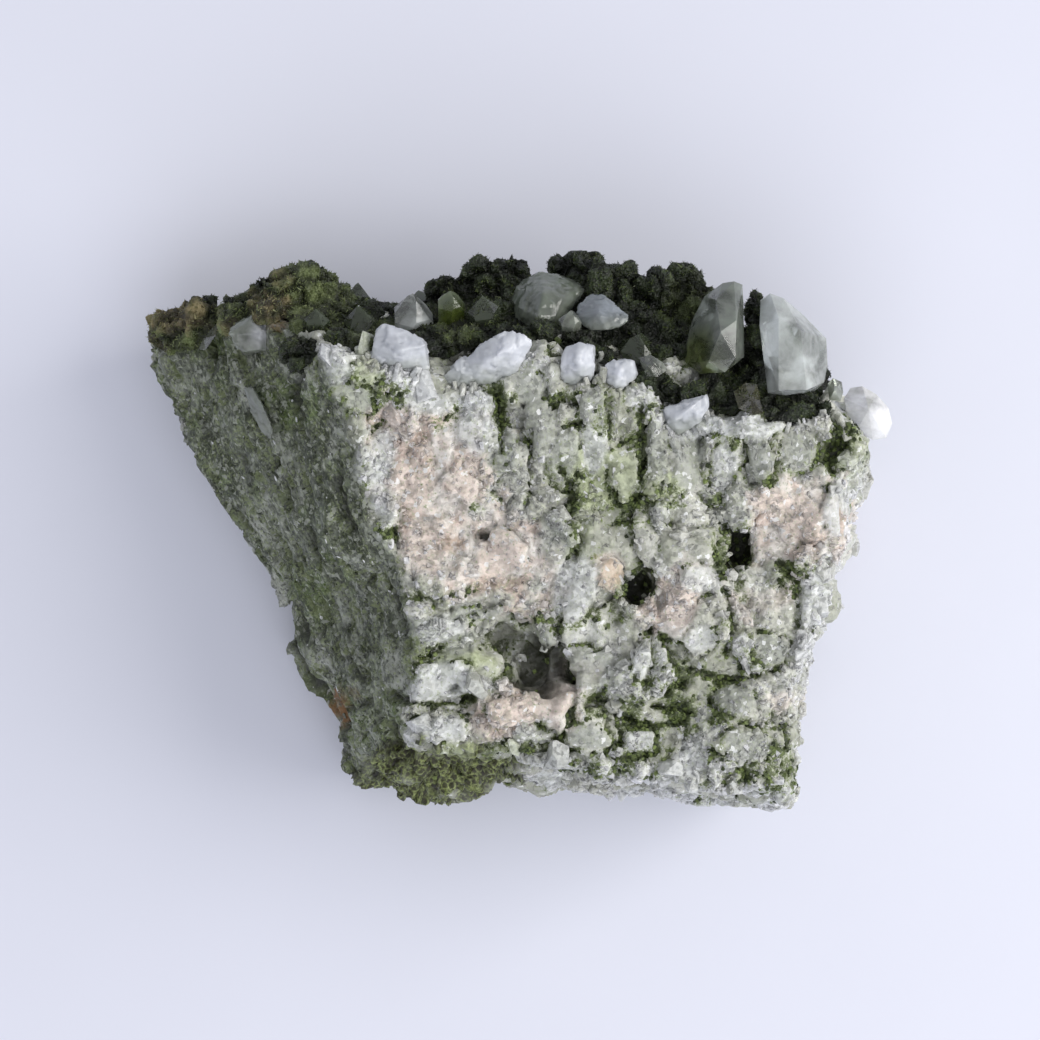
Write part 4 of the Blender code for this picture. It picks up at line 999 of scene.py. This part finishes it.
def worn_and_gap_shaded(tint, face):
    """Painted shade: each crystal is blackened in the gaps between the knobs, less on the spur. The spur is old and
    brown with lighter green on it.
    """
    point = face.vertices[0]
    tint = blend(tint, linear("#060804"), hollows[point] * (1 - 0.8 * max(ochres[point], olives[point])))
    old = clamp(noise.noise(face.center / (1.1 * MM)) * 1.6 + 0.5)
    tint = blend(tint, linear("#8f9a68"), 0.75 * olives[point])
    return blend(tint, linear("#a0956e"), 0.8 * ochres[point] * old)


crust.data.update()
green_grit = set_epidote("epidote_grit", rock, CRUMBS, 10000, (0.2, 0.55), 31, green_weight,
                         linear("#2b341e"), linear("#7d8c52"))
# The druse's crystals are browned where the crust is worn and blackened in the gaps between knobs as painted shade.
druse = set_epidote("druse_crystals", crust, NEEDLES, 40000, (0.45, 1.1), 32, open_side,
                    linear("#0d1108"), linear("#6a7840"), worn_and_gap_shaded)

# %% Epidote over the dark points
OVERGROWN = [name for name in CRYSTALS if name.startswith(("dark", "green_point_behind", "smoky"))]


def in_patches(face):
    return clamp(noise.noise(face.center / (1.6 * MM)) * 2.5 + 0.4)


shells = voxel_copy("shells", OVERGROWN, 0.5)
growth = set_epidote("epidote_on_points", shells, NEEDLES, 2500, (0.45, 1.0), 33, in_patches,
                     linear("#0a0d06"), linear("#55632f"))
bpy.data.objects.remove(shells)

# %% Grain materials
def tinted_material(name, rough, ior, glow, clear, frost_colour, frost_share, shine=0.5):
    """A stone whose colour is on its points, with fine frost."""
    made, tree = new_material(name)
    where = node(tree, "ShaderNodeTexCoord").outputs["Object"]
    tint = node(tree, "ShaderNodeAttribute", attribute_name="tint").outputs["Color"]
    frost = node(tree, "ShaderNodeTexNoise", {"Vector": where, "Scale": per_mm(0.4), "Detail": 5.0,
                                              "Roughness": 0.7})
    share = together(tree, steep(tree, frost.outputs["Fac"], 0.50, 0.75), "MULTIPLY", frost_share)
    grain = node(tree, "ShaderNodeTexVoronoi", {"Vector": jagged(tree, where, 0.7, 0.6), "Scale": per_mm(0.5)})
    chance = node(tree, "ShaderNodeSeparateColor", {0: grain.outputs["Color"]})
    bright = node(tree, "ShaderNodeMapRange", {"Value": chance.outputs[0], "To Min": 0.75, "To Max": 1.1}).outputs[0]
    tint = node(tree, "ShaderNodeHueSaturation", {"Value": bright, "Color": tint}).outputs[0]
    bump = node(tree, "ShaderNodeBump", {"Height": frost.outputs["Fac"], "Strength": 0.5, "Distance": 0.2 * MM,
                                         "Normal": leaning(tree, grain, 0.6)})
    finish_material(tree, node(tree, "ShaderNodeBsdfPrincipled", {
        "Base Color": mix(tree, share, tint, frost_colour), "Roughness": rough, "IOR": ior,
        "Specular IOR Level": shine,
        "Normal": bump.outputs[0], "Subsurface Weight": glow, "Subsurface Radius": (1.0, 1.0, 0.97),
        "Subsurface Scale": 1.3 * MM, "Transmission Weight": clear}))
    return made


sugar_quartz = tinted_material("sugary vein quartz", 0.22, 1.544, 0.85, 0.1, linear("#e6e8e9"), 0.5)
flank_stone = tinted_material("green vein wall", 0.38, 1.6, 0.0, 0.0, linear("#8b9180"), 0.4)
epidote_grain = tinted_material("epidote crystals", 0.42, 1.74, 0.0, 0.0, linear("#66753c"), 0.35, 0.22)
for piece in quartz_grains:
    piece.data.materials.append(sugar_quartz)
flank_grains.data.materials.append(flank_stone)
for piece in (green_grit, druse, growth):
    piece.data.materials.append(epidote_grain)

# %% [markdown]
# ## Quartz crystals
#
# Rock crystal is clear, with an index of refraction of 1.54, and it is seen through. Small
# healed cracks make it cloudy towards the foot. Milky quartz is the same stone full of tiny
# bubbles, so light spreads inside it. Some points here hold epidote and look green or dark.

# %% Crystal materials
def crystal_material(name, tint, clear, veil_colour, veil_share, rough=0.06, heart=None):
    """Clear stone with veils in it, which are cloudy. heart is a patch of another colour in it."""
    made, tree = new_material(name)
    where = node(tree, "ShaderNodeTexCoord").outputs["Object"]
    veil = node(tree, "ShaderNodeTexNoise", {"Vector": where, "Scale": per_mm(4.5), "Detail": 6.0,
                                             "Roughness": 0.55, "Distortion": 0.4})
    lines = node(tree, "ShaderNodeTexNoise", {"Vector": where, "Scale": per_mm(1.0), "Detail": 4.0})
    foot = together(tree, mark(tree, "foot"), "MULTIPLY", 0.8)
    middle = 0.72 - veil_share * 0.42
    clouded = steep(tree, veil.outputs["Fac"], middle - 0.10, middle + 0.22)
    seen_through = together(tree, clear, "MULTIPLY", together(tree, 1.0, "SUBTRACT", together(
        tree, clouded, "MULTIPLY", 0.85)))
    bump = node(tree, "ShaderNodeBump", {"Height": lines.outputs["Fac"], "Strength": 0.16, "Distance": 0.3 * MM})
    colour = mix(tree, clouded, linear(tint), linear(veil_colour))
    if heart:
        middle, radius, heart_colour = heart
        far = node(tree, "ShaderNodeVectorMath", {0: where, 1: middle}, operation="DISTANCE").outputs["Value"]
        inside = steep(tree, far, radius * MM, radius * 0.5 * MM)
        colour = mix(tree, inside, colour, linear(heart_colour))
    finish_material(tree, node(tree, "ShaderNodeBsdfPrincipled", {
        "Base Color": mix(tree, foot, colour, linear("#9ea396")),
        "Roughness": rough, "IOR": 1.544,
        "Normal": bump.outputs[0], "Transmission Weight": seen_through, "Subsurface Weight": 0.6,
        "Subsurface Radius": (1.0, 1.0, 1.0), "Subsurface Scale": 1.8 * MM}))
    return made


clear_quartz = crystal_material("rock crystal", "#e2e7e2", 0.85, "#c6cbca", 0.6)
dusky_quartz = crystal_material("dusky rock crystal", "#b4baad", 0.9, "#8b9186", 0.4)
glow_quartz = crystal_material("rock crystal with a green glow", "#b2b8b0", 0.85, "#7b8379", 0.55,
                               heart=(spot(703, 362, 37), 5.5, "#87935f"))
lens_quartz = crystal_material("green rock crystal", "#9ba58c", 0.8, "#5d6a48", 0.5,
                               heart=(spot(455, 320, 36), 3.0, "#8b9c4e"))
grey_quartz = crystal_material("rock crystal with green cloud", "#a4ab9f", 0.8, "#626b5d", 0.6, 0.12)
pale_flake = crystal_material("pale broken quartz", "#b3bbc0", 0.7, "#939ba1", 0.6, 0.12)
bright_flake = crystal_material("bright broken quartz", "#ffffff", 0.85, "#f6f7fb", 0.75, 0.15)
dark_quartz = crystal_material("dark rock crystal", "#6c7561", 0.85, "#3b4433", 0.6)
smoky_quartz = crystal_material("smoky quartz", "#77755a", 0.9, "#3a3b25", 0.4)
wall_flake = crystal_material("pale quartz in the wall", "#a3a8a0", 0.6, "#7d8478", 0.6, 0.2)
cored_quartz = crystal_material("rock crystal with a white core", "#a9afa4", 0.75, "#8b9287", 0.5, 0.1,
                                heart=(spot(262, 334, 31), 2.6, "#e8eaee"))
milky_quartz = crystal_material("milky quartz", "#c2c6cb", 0.3, "#d3d6dc", 0.8, 0.3)
FINISHES = {"clear_point_right": clear_quartz, "clear_point_left": glow_quartz, "clear_point_glint": clear_quartz,
            "green_point": lens_quartz,
            "clear_point_rim": dusky_quartz, "grey_point_back": grey_quartz, "grey_flake": pale_flake,
            "grey_block_right": dusky_quartz, "clear_flake_right": bright_flake, "clear_shard": dusky_quartz,
            "smoky_block": smoky_quartz, "spur_point": cored_quartz, "spur_blade": dusky_quartz,
            "flank_blade": wall_flake}


def finish_of(name):
    if name in FINISHES:
        return FINISHES[name]
    if name.startswith("milky"):
        return milky_quartz
    return dark_quartz if name.startswith(("dark", "green", "wall")) else dusky_quartz


for name in CRYSTALS:
    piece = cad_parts[name]
    piece.data.materials.clear()
    piece.data.materials.append(finish_of(name))
print("crystals:", len(CRYSTALS))

# %% [markdown]
# The broken blocks aren't as sharp as the points. A fine voxel copy of each gets small steps
# and slants, as quartz has where it breaks, and its foot takes the colour of the rock.

# %% Broken blocks
BROKEN = [name for name in CRYSTALS
          if name.startswith("milky") or name in ("grey_flake", "grey_point_back", "flank_blade", "spur_point")]
for name in BROKEN:
    block = voxel_copy("broken_" + name, [name], 0.26, smooth=True)
    bm = bmesh.new()
    bm.from_mesh(block.data)
    bmesh.ops.smooth_vert(bm, verts=bm.verts[:], factor=0.5, use_axis_x=True, use_axis_y=True, use_axis_z=True)
    bm.normal_update()
    lowest = min(vertex.co.y for vertex in bm.verts)
    length = max(vertex.co.y for vertex in bm.verts) - lowest
    places, feet = [], []
    for vertex in bm.verts:
        border, own, slant = lump_at(vertex.co, 2.6 * MM, UPRIGHT, 0.3)
        small_border, small_own, small_slant = lump_at(vertex.co, 1.0 * MM, UPRIGHT, 0.3)
        step = (own.x - 0.6) * 0.5 + slant * 0.7 + (small_own.x - 0.5) * 0.3 + small_slant * 0.4
        places.append(vertex.co + vertex.normal * (step * (0.7 if name.startswith("milky") else 0.4) * MM))
        fray = noise.noise(vertex.co / (1.2 * MM)) * 0.3
        feet.append(clamp(1.2 - (vertex.co.y - lowest) / (0.42 * length) + fray))
    for vertex, place in zip(bm.verts, places):
        vertex.co = place
    bm.to_mesh(block.data)
    bm.free()
    block.data.attributes.new("foot", "FLOAT", "POINT").data.foreach_set("value", feet)
    keep_inside(block.data)
    block.data.materials.append(finish_of(name))
    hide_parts(name)
    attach(block, "root")
    print(block.name, len(block.data.polygons), "squares")

# %% Sizes and the end
print("CAD box (mm):", [[round(c / MM, 1) for c in corner] for corner in CAD_BOX])
